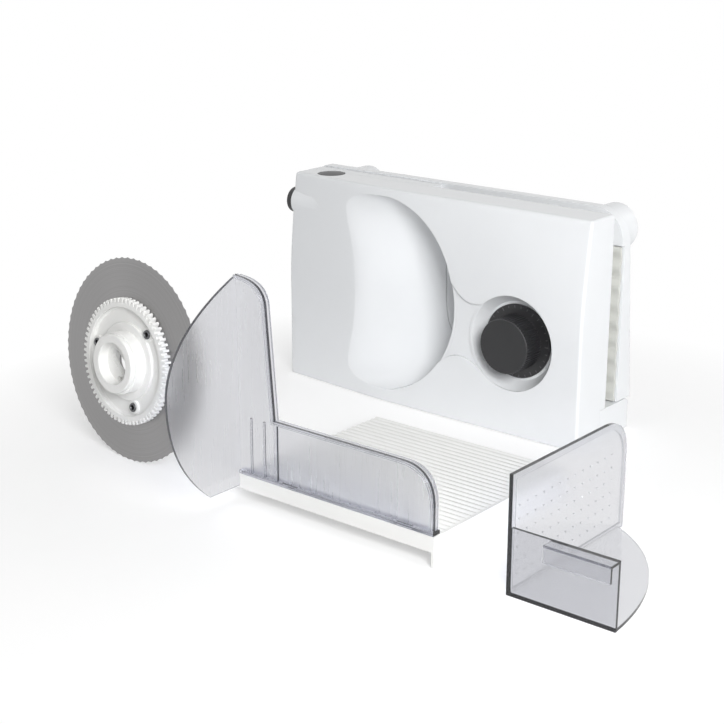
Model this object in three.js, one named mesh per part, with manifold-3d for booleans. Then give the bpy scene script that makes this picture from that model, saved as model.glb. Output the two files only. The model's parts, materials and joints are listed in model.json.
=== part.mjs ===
// A compact electric food slicer whose base folds up behind its motor housing.
// It is shown taken apart: the base is folded, and the blade, the carriage with its guard
// and the remnant holder stand apart in front of the housing.
// Millimetres. X runs to the right along the housing, Y away from the side with the knob,
// and Z up. The origin is on the table, under the middle of the housing.

import * as THREE from 'three';
import { mergeVertices } from 'three/addons/utils/BufferGeometryUtils.js';
import Module from 'manifold-3d';

const wasm = await Module();
wasm.setup();

// Shared sizes
const gap = 0.3;              // clearance between pieces that touch
const slip = 0.6;             // clearance round pieces that move
const overrun = 2;            // how far a cutting shape passes the face that it cuts
const weld = 0.0005;          // distance under which two corners are one
const small = 8;              // sides of a thin round piece
const coarse = 12;            // sides of a middling round piece
const fine = 24;              // sides of a large round piece

// Blade, and its place when it is mounted
const bladeRadius = 85;
const bladeThickness = 1.5;
const bladeSeatX = -55;
const bladeLift = 15.5;       // mounted blade's lowest point above the table
const bladeSeatZ = bladeRadius + bladeLift;

// Housing
const housingLeft = -166;
const housingRight = 166;
const housingFront = -42;
const bladeCover = 11.5;      // from the blade's highest point to the housing's top
const housingTop = bladeSeatZ + bladeRadius + bladeCover;
const housingLift = 0.6;      // underside of the shells above the table
const seam = 2.5;             // back edge of the front shell
const rearFace = 17.5;        // outer face of the rear shell
const wall = 2.6;
const leanStart = 100;        // above this height the front leans back
const leanDepth = 9.7;        // by how much, at the top
const leanPower = 1.5;        // how softly the lean begins
const leanShares = [0.35, 0.7];   // heights of the lean's middle sections
const bendX = -49;        // left of this place the front turns back
const bendSoft = 20;
const bendSlope = 0.088;
const cornerRadius = 2.5;     // upright front corners
const rimRadius = 2.5;        // edge round the top
const rimSteps = 3;           // sections of the rim's quarter round

// Blade's teeth, gear and hub
const scallops = 72;
const scallopDepth = 0.9;
const gearModule = 1.5;       // pitch diameter of the blade's gear for each of its teeth
const gearToothDepth = 1.9;   // from the pitch circle to the root
const gearBacklash = 0.25;    // extra distance between the pinion and the blade's gear
const gearTeeth = 68;
const gearDepth = 7.5;
const gearRimWidth = 6;
const gearWebDepth = 3;
const hubBossRadius = 32.5;
const hubBossDepth = 5.3;
const hubNeckRadius = 26;
const hubNeckDepth = 15.5;
const hubNoseRadius = 24.3;
const hubNoseDepth = 19.5;
const hubRecessRadius = 17;
const hubRecessDepth = 9;
const hubBore = 12.5;
const hubSlotWidth = 9;       // bayonet slots beside the bore
const hubSlotReach = 15.5;
const hubSlotDepth = 4;
const hubSlotTurn = 35;       // degrees, down to the right
const rivetCircle = 38;
const rivetBossRadius = 6;
const rivetBossDepth = 5;
const rivetRadius = 2.6;
const rivetHeadRadius = 3.8;
const rivetHeadDepth = 1;
const rivets = 3;
const rivetTurnShare = 0.13;

// Slice bowl, slit and the stop plate's travel
const bowlMargin = 5;         // from the blade's edge to the bowl's sharp right edge
const bowlRise = 0.5;         // middle of the bowl above the blade's centre
const bowlEndInset = 1;
const bowlRadius = bladeRadius + bowlMargin;
const bowlMiddle = bladeSeatZ + bowlRise;
const bowlHalfHeight = bowlRadius - bowlEndInset;
const bowlDepth = 55;
const bowlWaistShare = 0.28;
const bowlSwellShare = 0.2;
const bowlLip = 0.4;          // how far the bowl's cutting surface starts before the front
const lipClear = 1;
const lipRadius = bladeRadius + lipClear;   // edge of the rear shell beside the blade
const slitHalfAngle = 50;
const lipDrop = 6.5;
const neckTop = bladeSeatZ + lipRadius - lipDrop;   // above it the rear shell ends upright

// Keyhole step and knob well
const knobX = 96;
const knobZ = 82;
const keyholeDepth = 2.6;
const keyholeRadius = 42;
const wellRadius = 35;
const wellFloor = -28;
const neckHighLeftRise = 68;  // neck's edges above and below the knob's middle
const neckHighWaistRise = 28.5;
const neckLowLeftDrop = 37;
const neckLowWaistDrop = 21.5;
const neckHighLeft = knobZ + neckHighLeftRise;
const neckHighWaist = knobZ + neckHighWaistRise;
const neckLowLeft = knobZ - neckLowLeftDrop;
const neckLowWaist = knobZ - neckLowWaistDrop;
const neckReach = 20;         // how far the neck passes under the bowl's edge
const neckHighReach = 20;     // from the bowl's edge to the neck's lowest and highest places
const neckLowReach = 7;
const neckHighX = bladeSeatX + bowlRadius + neckHighReach;
const neckLowX = bladeSeatX + bowlRadius + neckLowReach;
const neckHighBend = 17;      // how far each curve runs level from there
const neckLowBend = 13;
const keyholeMeet = 68;       // degrees from level to where the neck meets the round step

// Thickness knob, cam and stop plate
const knobRadius = 24.4;
const knobProud = 10;
const knobRibs = 60;
const knobRibDepth = 0.8;
const knobEdge = 1.2;
const dialRadius = 32.7;
const dialThickness = 3;
const knobShaftRadius = 5;
const knobShaftEnd = -9;
const camRadius = 20;
const camCoreRadius = 14.5;
const camFront = -25.1;
const camBack = -2.7;
const camTravel = 15;
const camTurn = 300;
const camRunout = 14;         // degrees of groove past each end
const grooveClear = 0.5;      // between the peg and the groove's sides
const pegEnd = 0.6;           // between the peg's end and the groove's floor
const pegRadius = 1.8;
const pegPlace = -6.5;
const armWidth = 10;
const armThickness = 5;
const camScrewRadius = 1.5;
const camScrewHead = 4.5;
const camScrewHeadDepth = 2.4;
const camScrewLength = 9;
const coverFront = -2.3;
const coverThickness = 2.5;
const coverLeft = -15;
const coverScrewUnderBowl = 15;   // how far the first screw stands left of the bowl's right edge
const coverScrewDrop = 19;
const coverScrewInset = 16;
const coverScrewRightDrop = 15;
const coverScrewLow = 60;
const coverScrewPlaces = [
  [bladeSeatX + bowlRadius - coverScrewUnderBowl, housingTop - coverScrewDrop],
  [housingRight - coverScrewInset, housingTop - coverScrewRightDrop],
  [housingRight - coverScrewInset, coverScrewLow],
];
const coverScrewLength = 8;
const stopPlateFace = 17.6;
const stopPlateThickness = 2.2;
const stopPlateBottom = 29;
const stopPlateDrop = 31;
const stopPlateInset = 1.5;
const stopPlateTop = housingTop - stopPlateDrop;
const stopPlateRight = housingRight - stopPlateInset;
const stopPlateClear = 3;     // from the blade's edge
const waveHeight = 0.8;
const wavePitch = 15.8;
const waveSteps = 4;          // straight pieces that draw one wave
const guideRadius = 3;
const guideEnd = -10;
const guideBossRadius = 5.8;
const guideBossDepth = 2.2;
const guideSleeve = 7;
const guideFromBlade = 32;
const guideDrop = 47;
const guideInset = 30;
const guideLow = 38;
const guidePlaces = [
  [bladeSeatX + bladeRadius + guideFromBlade, housingTop - guideDrop],
  [housingRight - guideInset, guideLow],
];

// Motor and its gears
const motorRadius = 20;
const motorY = -9;
const wormDrop = 40.5;        // middle of the worm under the blade's centre
const wormMiddle = bladeSeatZ - wormDrop;
const motorRise = 27;
const motorBottom = wormMiddle + motorRise;
const switchDrop = 37;
const switchShelf = housingTop - switchDrop;
const motorDrop = 18;
const motorTop = switchShelf - motorDrop;
const canWall = 2;
const capThickness = 4;
const magnetThickness = 3.2;
const magnetHalfAngle = 62;
const magnetMargin = 9;
const armatureRadius = 13.6;
const armatureSlots = 8;
const slotDepth = 4;
const slotHalfAngle = 5;
const commutatorRadius = 5;
const commutatorLength = 6.5;
const commutatorTop = motorTop - canWall;
const commutatorBottom = commutatorTop - commutatorLength;
const brushWidth = 5;
const brushLength = 8;
const rotorShaftRadius = 2;
const rotorShaftBelow = 20;
const rotorShaftAbove = 7;
const rotorShaftBottom = wormMiddle - rotorShaftBelow;
const rotorShaftTop = motorTop + rotorShaftAbove;
const bearingRadius = 6;
const bearingThickness = 4.6;
const wormPitchRadius = 6;
const wormHalfLength = 8;
const wormCoreRadius = 4.4;
const wormTipRadius = 6.4;
const wormThread = 0.9;
const wormSteps = 7;          // straight pieces that draw one turn of the thread
const wheelModule = 1;        // pitch diameter of the worm wheel for each of its teeth
const wheelTeeth = 44;
const wheelWidth = 8;
const wheelToothDepth = 1.6;
const pinionTeeth = 11;
const pinionWidth = 7;
const pinionShaftRadius = 2.5;
const pinionShaftFront = -22;
const bushRadius = 5;
const bushLength = 5.6;
const saddleThickness = 3;
const saddleInset = 6;        // from the ends of the motor can
const saddleWidth = 24;
const shelfWidth = 8;

// Pocket of the rear shell for the blade's gear and hub
const pocketRadius = 54.5;
const pocketFloor = 8;
const socketClear = 1.2;
const socketDepth = 24.7;     // from the blade's middle to the socket's floor
const spindleRadius = 5;
const spindleEnd = 12;

// Buttons and switches
const topButtonX = -134;
const topButtonY = -7;
const topButtonRadius = 12.9;
const topButtonProud = 0.8;
const topButtonDepth = 6;
const buttonTravel = 2.5;
const collarWidth = 1.6;
const stemRadius = 4;
const topStemDrop = 14;
const topStemEnd = housingTop - topStemDrop;
const sideButtonY = -16;
const sideButtonDrop = 28;
const sideButtonZ = housingTop - sideButtonDrop;
const sideButtonRadius = 12;
const sideButtonProud = 7;
const sideButtonSeat = -163;
const sideBoreEnd = -160;
const sideStemEnd = -152;
const sideStemRadius = 3;
const fairingRadius = 13.4;
const fairingLength = 40;
const fairingTip = 12.4;
const fairingBlock = -157.4;
const switchLength = 20;
const switchWidth = 10.5;
const switchHeight = 16;
const plungerRadius = 1.6;
const plungerLength = 2.4;
const sideSwitchFront = -23;
const topSwitchFront = -12.2;
const switchLeft = -146;

// Board, cord inlet, screws and housing feet
const boardLeft = -161;
const boardWidth = 22;
const boardBottom = 50;
const boardHeight = 26;
const boardThickness = 1.6;
const boardPlace = 11;
const boardPartHeight = 6;
const boardPartWidth = 7;
const boardPartShares = [0.22, 0.68];   // places of its parts up the board
const standoffRadius = 2.5;
const glandY = -9;
const glandZ = 52;
const glandBore = 3.2;
const glandRadius = 5;
const glandFlange = 7.5;
const glandFlangeDepth = 2.2;
const screwShank = 1.5;
const screwHead = 3.3;
const screwHeadDepth = 2.2;
const screwFront = -8;
const screwPost = 4.2;
const screwInset = 10;
const screwLow = 36;
const screwDrop = 13;
const screwTopDrop = 7;
const screwHighReach = 17;    // right of the blade's centre
const screwLowReach = 37;
const screwPlaces = [
  [housingLeft + screwInset, screwLow],
  [housingLeft + screwInset, housingTop - screwDrop],
  [bladeSeatX + screwHighReach, housingTop - screwTopDrop],
  [bladeSeatX + screwLowReach, screwLow],
];
const footRadius = 9;
const footThickness = 2.4;
const footPlaces = [-140, 140];
const footY = -20;

// Foot bar and fold hinge
const hingeY = 36;
const hingeZ = 22;
const knuckleRadius = 5.5;
const hingePinRadius = 2.5;
const hingePinLength = 46;
const knuckleX = 125;
const knuckleWidth = 30;
const barFront = -5;
const barPocketDepth = 20;
const barPocketFrom = 34;
const barPocketTo = 98;
const barWall = 3;

// Folded base
const baseInner = 22;
const baseOuterLow = 44;
const baseOuterHigh = 28;
const baseRise = 1;           // folded base above the housing's top
const baseTop = housingTop + baseRise;
const baseLift = 0.8;         // clearance between the base's lower edge and the knuckles
const baseCorner = 28;
const baseCornerLeft = 4;
const railHeight = 31;
const railBottom = baseTop - railHeight;
const railFront = 18;
const baseWall = 2.5;
const baseColumns = 4;
const baseRows = 3;
const baseRib = 2;
const barrelX = 138;
const barrelDrop = 23.5;
const barrelZ = baseTop - barrelDrop;
const barrelRadius = 20.8;
const barrelWall = 2.4;
const padRadius = 17;
const padThickness = 2.4;

// Carriage
const carriageLeft = 20;
const carriageRight = 208;
const carriageFront = -297;
const carriageBack = -129;
const carriageTop = 23.2;
const carriagePlate = 2.4;
const carriageRibs = 25;
const carriageRibHeight = 1;
const carriageRibWidthShare = 0.45;
const carriageMargin = 9;     // smooth strip along the front
const carriageSkirt = 12;     // depth of the front, back and left walls
const carriageWall = 2.5;
const runnerInset = 32;
const runnerWidth = 6;
const crossRibs = 4;
const tabWidth = 14;
const tabThickness = 2;
const tabDepth = 6;
const tabPlaces = [70, 180];

// Guard
const guardThickness = 2.4;
const guardY = -294;
const guardFlange = 3;
const guardFlangeDepth = 8;
const guardLowTop = 74;
const guardCorner = 28;
const guardRim = 2.8;
const guardRimDepth = 6;
const guardTallTop = 181;
const guardTallFoot = 57;
const guardTallShoulder = 50;
const guardTallRise = 160;
const guardFoldX = 18.6;
const guardRight = 207;
const shieldReach = 75;
const shieldMiddle = 98;
const shieldFoot = 13;
const shieldFootReach = 34;
const finPlaces = [33, 41, 49];
const finWidth = 1.2;
const finDepth = 1.6;

// Remnant holder
const pusherLeft = 270.4;
const pusherFront = -299;
const pusherPlateLength = 149.5;
const pusherPlateHeight = 88;
const pusherPlateThickness = 3;
const pusherCorner = 30;
const pusherRim = 4.5;
const pusherRimStep = 1;
const pusherWallLength = 84.6;
const pusherWallHeight = 50;
const pusherWallThickness = 2.4;
const pusherBaseThickness = 2.4;
const pusherBaseLength = 144;
const pusherEdgeLean = 3.5;
const pusherEdgeNear = 67;
const pusherEdgeFar = 50;
const pusherEdgeDrop = 25;
const hookFrom = 34;
const hookReach = 10;
const hookDrop = 12.5;
const hookWall = 2;
const spikeRows = 5;
const spikeColumns = 7;
const spikeRadius = 0.9;
const spikeLength = 1.6;
const spikePitchY = 16;
const spikePitchZ = 13;
const spikeFirstY = 22;
const spikeFirstZ = 14;

// Where the blade stands
const bladeStandX = -112.6;
const bladeStandY = -285.3;
const bladeTilt = 5.1;
const bladeYaw = -3.1;

const degree = Math.PI / 180;

// Turns a closed three.js geometry into a solid that can be joined and cut.
function solid(geometry) {
  const bare = new THREE.BufferGeometry();
  bare.setAttribute('position', geometry.getAttribute('position').clone());
  if (geometry.index) bare.setIndex(geometry.index.clone());
  const merged = mergeVertices(bare, weld);
  const at = merged.getAttribute('position');
  const corner = (k) => new THREE.Vector3().fromBufferAttribute(at, k);
  const old = merged.index.array;
  const triangles = [];
  let volume = 0;
  for (let k = 0; k < old.length; k += 3) {
    const [a, b, c] = [old[k], old[k + 1], old[k + 2]];
    if (a === b || b === c || c === a) continue;
    triangles.push(a, b, c);
    volume += corner(a).dot(corner(b).cross(corner(c)));
  }
  if (volume < 0) triangles.reverse();
  return new wasm.Manifold(new wasm.Mesh({
    numProp: 3,
    vertProperties: new Float32Array(at.array),
    triVerts: new Uint32Array(triangles),
  }));
}

function join(first, ...others) {
  return others.reduce((sum, other) => sum.add(other), first);
}

function cut(first, ...others) {
  return others.reduce((rest, other) => rest.subtract(other), first);
}

function box(x0, x1, y0, y1, z0, z1) {
  const geometry = new THREE.BoxGeometry(x1 - x0, y1 - y0, z1 - z0);
  return solid(geometry.translate((x0 + x1) / 2, (y0 + y1) / 2, (z0 + z1) / 2));
}

// Turns a shape made along Y to lie along an axis, at a place across that axis.
function onAxis(geometry, axis, across) {
  const [a, b] = across;
  if (axis === 'x') return geometry.rotateZ(-Math.PI / 2).translate(0, a, b);
  if (axis === 'z') return geometry.rotateX(Math.PI / 2).translate(a, b, 0);
  return geometry.translate(a, 0, b);
}

// A turned solid. Each point of the profile is a radius and a place along the axis.
function turned(axis, profile, across, sides = coarse) {
  const points = profile.map(([radius, along]) => new THREE.Vector2(radius, along));
  return solid(onAxis(new THREE.LatheGeometry(points, sides), axis, across));
}

function rod(axis, radius, from, to, across, sides = coarse) {
  return turned(axis, [[0, from], [radius, from], [radius, to], [0, to]], across, sides);
}

function tube(axis, inner, outer, from, to, across, sides = coarse) {
  const profile = [[inner, from], [outer, from], [outer, to], [inner, to], [inner, from]];
  return turned(axis, profile, across, sides);
}

// Extrudes an outline along an axis. It is drawn in Y and Z for X, X and Z for Y, X and Y for Z.
function slab(axis, outline, from, to, curveSegments = 12) {
  const settings = { depth: to - from, bevelEnabled: false, curveSegments };
  const geometry = new THREE.ExtrudeGeometry(outline, settings);
  if (axis === 'x') {
    geometry.applyMatrix4(new THREE.Matrix4().set(0, 0, 1, from, 1, 0, 0, 0, 0, 1, 0, 0, 0, 0, 0, 1));
  }
  if (axis === 'y') geometry.rotateX(Math.PI / 2).translate(0, to, 0);
  if (axis === 'z') geometry.translate(0, 0, from);
  return solid(geometry);
}

function outline(points) {
  return new THREE.Shape(points.map(([a, b]) => new THREE.Vector2(a, b)));
}

// Joins closed rings of points, each with as many points, into a solid with flat ends.
function loft(rings) {
  const count = rings[0].length;
  const index = [];
  for (let ring = 0; ring + 1 < rings.length; ring++) {
    for (let k = 0; k < count; k++) {
      const a = ring * count + k;
      const b = ring * count + (k + 1) % count;
      index.push(a, b, b + count, a, b + count, a + count);
    }
  }
  const last = (rings.length - 1) * count;
  for (let k = 1; k + 1 < count; k++) {
    index.push(0, k + 1, k, last, last + k, last + k + 1);
  }
  return fromPoints(rings.flat(), index);
}

// A solid between two grids of points that face each other.
function between(near, far) {
  const rows = near.length;
  const columns = near[0].length;
  const half = rows * columns;
  const index = [];
  const quad = (a, b, c, d) => index.push(a, b, c, a, c, d);
  for (let i = 0; i + 1 < rows; i++) {
    for (let j = 0; j + 1 < columns; j++) {
      const a = i * columns + j;
      quad(a, a + 1, a + columns + 1, a + columns);
      quad(half + a, half + a + columns, half + a + columns + 1, half + a + 1);
    }
  }
  const edge = [];
  for (let j = 0; j + 1 < columns; j++) edge.push(j);
  for (let i = 0; i + 1 < rows; i++) edge.push(i * columns + columns - 1);
  for (let j = columns - 1; j > 0; j--) edge.push((rows - 1) * columns + j);
  for (let i = rows - 1; i > 0; i--) edge.push(i * columns);
  edge.forEach((a, k) => {
    const b = edge[(k + 1) % edge.length];
    quad(b, a, a + half, b + half);
  });
  return fromPoints([...near.flat(), ...far.flat()], index);
}

function fromPoints(points, index) {
  const geometry = new THREE.BufferGeometry();
  geometry.setAttribute('position', new THREE.Float32BufferAttribute(points.flat(), 3));
  geometry.setIndex(index);
  return solid(geometry);
}

// An outline of plain pointed teeth round a circle
function toothed(teeth, tipRadius, rootRadius, turn = 0) {
  const points = [];
  for (let k = 0; k < teeth * 2; k++) {
    const angle = k / teeth * Math.PI + turn;
    const radius = k % 2 ? rootRadius : tipRadius;
    points.push([radius * Math.cos(angle), radius * Math.sin(angle)]);
  }
  return outline(points);
}

function finish(color, roughness, metalness = 0, opacity = 1) {
  return new THREE.MeshStandardMaterial({
    color, roughness, metalness, opacity, transparent: opacity < 1,
  });
}

const whiteGloss = finish(0xe9ebed, 0.25);
const whiteSatin = finish(0xf0f0ee, 0.45);
const blackPlastic = finish(0x2b2b2d, 0.5);
const smokePlastic = finish(0xaab2c4, 0.1, 0, 0.4);
const bladeSteel = finish(0x8f8d8c, 0.35, 1);
const brightSteel = finish(0xb8babd, 0.3, 1);
const motorSteel = finish(0x8b8f94, 0.4, 1);
const copper = finish(0xb87333, 0.35, 1);
const bronze = finish(0xb08d57, 0.4, 1);
const magnetBlack = finish(0x35353a, 0.7);
const rubber = finish(0x55565a, 0.9);
const boardGreen = finish(0x2f6b46, 0.5);

const slicer = new THREE.Group();

function piece(name, shape, material, parent = slicer) {
  const mesh = shape.getMesh();
  const geometry = new THREE.BufferGeometry();
  geometry.setAttribute('position', new THREE.Float32BufferAttribute(mesh.vertProperties, 3));
  geometry.setIndex(Array.from(mesh.triVerts));
  geometry.computeVertexNormals();
  const node = new THREE.Mesh(geometry, material);
  node.name = name;
  parent.add(node);
}

// Places that several pieces share
const gearPitchRadius = gearModule * gearTeeth / 2;
const pinionPitchRadius = gearModule * pinionTeeth / 2;
const wheelPitchRadius = wheelModule * wheelTeeth / 2;
const pinionTip = pinionPitchRadius + gearModule;
const gearReach = gearPitchRadius + pinionPitchRadius + gearBacklash;
const pinionZ = wormMiddle;
const pinionX = bladeSeatX - Math.sqrt(gearReach ** 2 - (bladeSeatZ - pinionZ) ** 2);
const motorX = pinionX - wheelPitchRadius - wormPitchRadius;
const barTop = hingeZ + knuckleRadius;
const barBack = hingeY + knuckleRadius;
const bladeSeatY = rearFace + bladeThickness / 2;
const socketFloor = bladeSeatY - socketDepth;
const pinionFront = pocketFloor + gap;
const pinionBack = pinionFront + pinionWidth;
const lowerBearing = rotorShaftBottom + gap + wall / 2;
const pinionAt = [pinionX, pinionZ];
const motorAt = [motorX, motorY];
const bladeAt = [bladeSeatX, bladeSeatZ];
const knobAt = [knobX, knobZ];

function frontAt(x, z) {
  const past = bendX - x;
  const turnedBack = bendSlope * (Math.sqrt(past ** 2 + bendSoft ** 2) + past) / 2;
  const share = Math.max(0, (z - leanStart) / (housingTop - leanStart));
  return housingFront + turnedBack + leanDepth * share ** leanPower;
}

// A level section of the housing at height z, drawn in by inset, with its back at back.
function housingRing(z, inset, back) {
  const radius = cornerRadius - inset / 2;
  const rim = rimRadius - inset / 2;
  const up = Math.max(0, z - (housingTop - inset - rim));
  const round = rim - Math.sqrt(Math.max(0, rim ** 2 - up ** 2));
  const right = housingRight - inset - round;
  const left = housingLeft + inset + round;
  const steps = 3;
  const across = 6;
  const ring = [[right, back, z]];
  const face = (x) => frontAt(x, z) + inset + round;
  for (let k = 0; k <= steps; k++) {
    const angle = k / steps * Math.PI / 2;
    const x = right - radius + radius * Math.cos(angle);
    ring.push([x, face(x) + radius - radius * Math.sin(angle), z]);
  }
  for (let k = 1; k < across; k++) {
    const x = right - radius + (left + radius - (right - radius)) * k / across;
    ring.push([x, face(x), z]);
  }
  for (let k = 0; k <= steps; k++) {
    const angle = k / steps * Math.PI / 2;
    const x = left + radius - radius * Math.sin(angle);
    ring.push([x, face(x) + radius - radius * Math.cos(angle), z]);
  }
  ring.push([left, back, z]);
  return ring;
}

function housingBody(inset, back) {
  const top = housingTop - inset;
  const rim = rimRadius - inset / 2;
  const heights = [housingLift + inset, leanStart];
  for (const share of leanShares) {
    heights.push(leanStart + share * (top - rim - leanStart));
  }
  for (let k = 0; k <= rimSteps; k++) {
    heights.push(top - rim + rim * Math.sin(k / rimSteps * Math.PI / 2));
  }
  return loft(heights.map((z) => housingRing(z, inset, back)));
}

// The slice bowl: a hollow that deepens towards its round right edge.
function bowlPoint(acrossShare, upShare, deeper, wider) {
  const z = bowlMiddle + upShare * (bowlHalfHeight + wider);
  const radius = bowlRadius + wider;
  const close = Math.sqrt(Math.max(0, 1 - upShare ** 10));
  const waist = bowlWaistShare + bowlSwellShare * upShare ** 2;
  const leftEdge = bladeSeatX - (bowlRadius * waist + wider) * close;
  const rightEdge = bladeSeatX + Math.sqrt(radius ** 2 - (z - bladeSeatZ) ** 2);
  const x = leftEdge + acrossShare * (rightEdge - leftEdge);
  const fall = Math.sin(acrossShare * Math.PI / 2) ** 2 * Math.max(0, 1 - upShare ** 2) ** 0.75;
  return [x, frontAt(x, z) - bowlLip + bowlDepth * fall + deeper, z];
}

function bowlBody(deeper, wider) {
  const rows = 12;
  const columns = 8;
  const near = [];
  const far = [];
  for (let i = 0; i <= rows; i++) {
    const upShare = Math.sin((i / rows - 0.5) * Math.PI);
    const points = [];
    for (let j = 0; j <= columns; j++) {
      points.push(bowlPoint(j / columns, upShare, deeper, wider));
    }
    far.push(points);
    near.push(points.map(([x, , z]) => [x, housingFront - knobProud, z]));
  }
  return between(near, far);
}

function sector(innerRadius, outerRadius, halfAngle, from, to, [x, z], middleAngle = 0) {
  const shape = new THREE.Shape();
  const start = (middleAngle - halfAngle) * degree;
  const end = (middleAngle + halfAngle) * degree;
  shape.absarc(x, z, outerRadius, start, end, false);
  shape.absarc(x, z, innerRadius, end, start, true);
  return slab('y', shape, from, to, small);
}

const topButtonHole = rod('z', topButtonRadius + slip / 2, topStemEnd, housingTop + overrun,
  [topButtonX, topButtonY]);
const bowl = bowlBody(0, 0);
const bowlSkin = bowlBody(wall, wall);
const slit = sector(lipRadius, bowlRadius, slitHalfAngle, coverFront, rearFace + overrun, bladeAt);

// Front shell, with the bowl, the keyhole step and the knob well
function keyhole() {
  const shape = new THREE.Shape();
  const meet = keyholeMeet * degree;
  const reach = keyholeRadius * Math.cos(meet);
  const rise = keyholeRadius * Math.sin(meet);
  const left = bladeSeatX + bowlRadius - neckReach;
  shape.moveTo(left, neckHighLeft);
  shape.quadraticCurveTo(neckHighX - neckHighBend, neckHighWaist, neckHighX, neckHighWaist);
  shape.quadraticCurveTo(neckHighX + neckHighBend, neckHighWaist, knobX - reach, knobZ + rise);
  shape.absarc(knobX, knobZ, keyholeRadius, Math.PI - meet, meet - Math.PI, true);
  shape.quadraticCurveTo(neckLowX + neckLowBend, neckLowWaist, neckLowX, neckLowWaist);
  shape.quadraticCurveTo(neckLowX - neckLowBend, neckLowWaist, left, neckLowLeft);
  return slab('y', shape, housingFront - overrun, housingFront + keyholeDepth, 8);
}

function wellProfile(grow) {
  const front = housingFront + keyholeDepth - gap;
  const floor = wellFloor + grow;
  return [
    [0, housingFront - overrun], [keyholeRadius + grow, housingFront - overrun],
    [keyholeRadius + grow, front], [wellRadius + grow, floor], [0, floor],
  ];
}

function sideFairing() {
  const across = [sideButtonY, sideButtonZ];
  const profile = [
    [0, housingLeft + gap], [fairingRadius, housingLeft + gap],
    [fairingTip, housingLeft + fairingLength], [0, housingLeft + fairingLength],
  ];
  return turned('x', profile, across);
}

const screwPostAt = (radius, from, to, place) => rod('y', radius, from, to, place, small);

function frontShell() {
  const sideAt = [sideButtonY, sideButtonZ];
  const hollow = cut(
    housingBody(wall, seam + overrun),
    bowlSkin,
    turned('y', wellProfile(wall), knobAt, fine),
    rod('x', fairingRadius, housingLeft, fairingBlock, sideAt),
    rod('y', bushRadius, housingFront, pinionShaftFront + wall + gap, pinionAt),
    ...screwPlaces.map((place) => screwPostAt(screwPost, housingFront, seam, place)),
    ...coverScrewPlaces.map((place) => screwPostAt(screwPost, housingFront, coverFront - gap, place)),
  );
  const barSpace = box(housingLeft - overrun, housingRight + overrun, barFront - gap, seam + overrun,
    -overrun, barTop + gap);
  return cut(
    join(housingBody(0, seam), sideFairing()),
    hollow,
    bowl,
    slit,
    keyhole(),
    turned('y', wellProfile(0), knobAt, fine),
    rod('y', knobShaftRadius + gap, housingFront, camFront, knobAt),
    rod('y', pinionShaftRadius + gap, pinionShaftFront - gap, seam, pinionAt),
    topButtonHole,
    rod('x', sideButtonRadius + slip / 2, housingLeft - overrun, sideBoreEnd, sideAt),
    rod('x', sideStemRadius + slip, sideBoreEnd - overrun, fairingBlock + overrun, sideAt),
    rod('x', glandRadius + gap, housingLeft - overrun, housingLeft + wall + overrun, [glandY, glandZ]),
    ...screwPlaces.map((place) => screwPostAt(screwShank + gap, screwFront - gap, seam + overrun, place)),
    ...coverScrewPlaces.map((place) => (
      screwPostAt(screwShank + gap, coverFront - coverScrewLength - gap, coverFront, place)
    )),
    ...footPlaces.map((x) => (
      rod('z', footRadius + gap, -overrun, housingLift + footThickness / 2, [x, footY])
    )),
    barSpace,
  );
}
piece('front_shell', frontShell(), whiteGloss);

// Rear shell, with the pocket for the blade's gear and the motor's saddles
function rearOutline(grow) {
  const shape = new THREE.Shape();
  const bottom = barTop + gap - grow;
  const radius = lipRadius + grow;
  const start = Math.asin((bottom - bladeSeatZ) / radius);
  const end = Math.asin((neckTop - bladeSeatZ) / radius);
  shape.absarc(bladeSeatX, bladeSeatZ, radius, start, end, false);
  shape.lineTo(bladeSeatX + radius * Math.cos(end), housingTop + overrun);
  shape.lineTo(housingLeft - overrun, housingTop + overrun);
  shape.lineTo(housingLeft - overrun, bottom);
  return shape;
}

function socketProfile(grow) {
  const floor = socketFloor - grow;
  const neck = bladeSeatY - hubNeckDepth - socketClear - grow;
  const clear = socketClear + grow;
  return [
    [0, floor], [hubNoseRadius + clear, floor], [hubNoseRadius + clear, neck],
    [hubNeckRadius + clear, neck], [hubNeckRadius + clear, pocketFloor - grow],
    [pocketRadius + grow, pocketFloor - grow],
    [pocketRadius + grow, rearFace + overrun], [0, rearFace + overrun],
  ];
}

function motorSaddle(bottom) {
  const top = bottom + saddleThickness;
  const plate = box(motorX - saddleWidth, motorX + saddleWidth, motorY, rearFace - wall / 2, bottom, top);
  return cut(plate, rod('z', motorRadius + gap, bottom - overrun, top + overrun, motorAt, fine));
}

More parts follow.
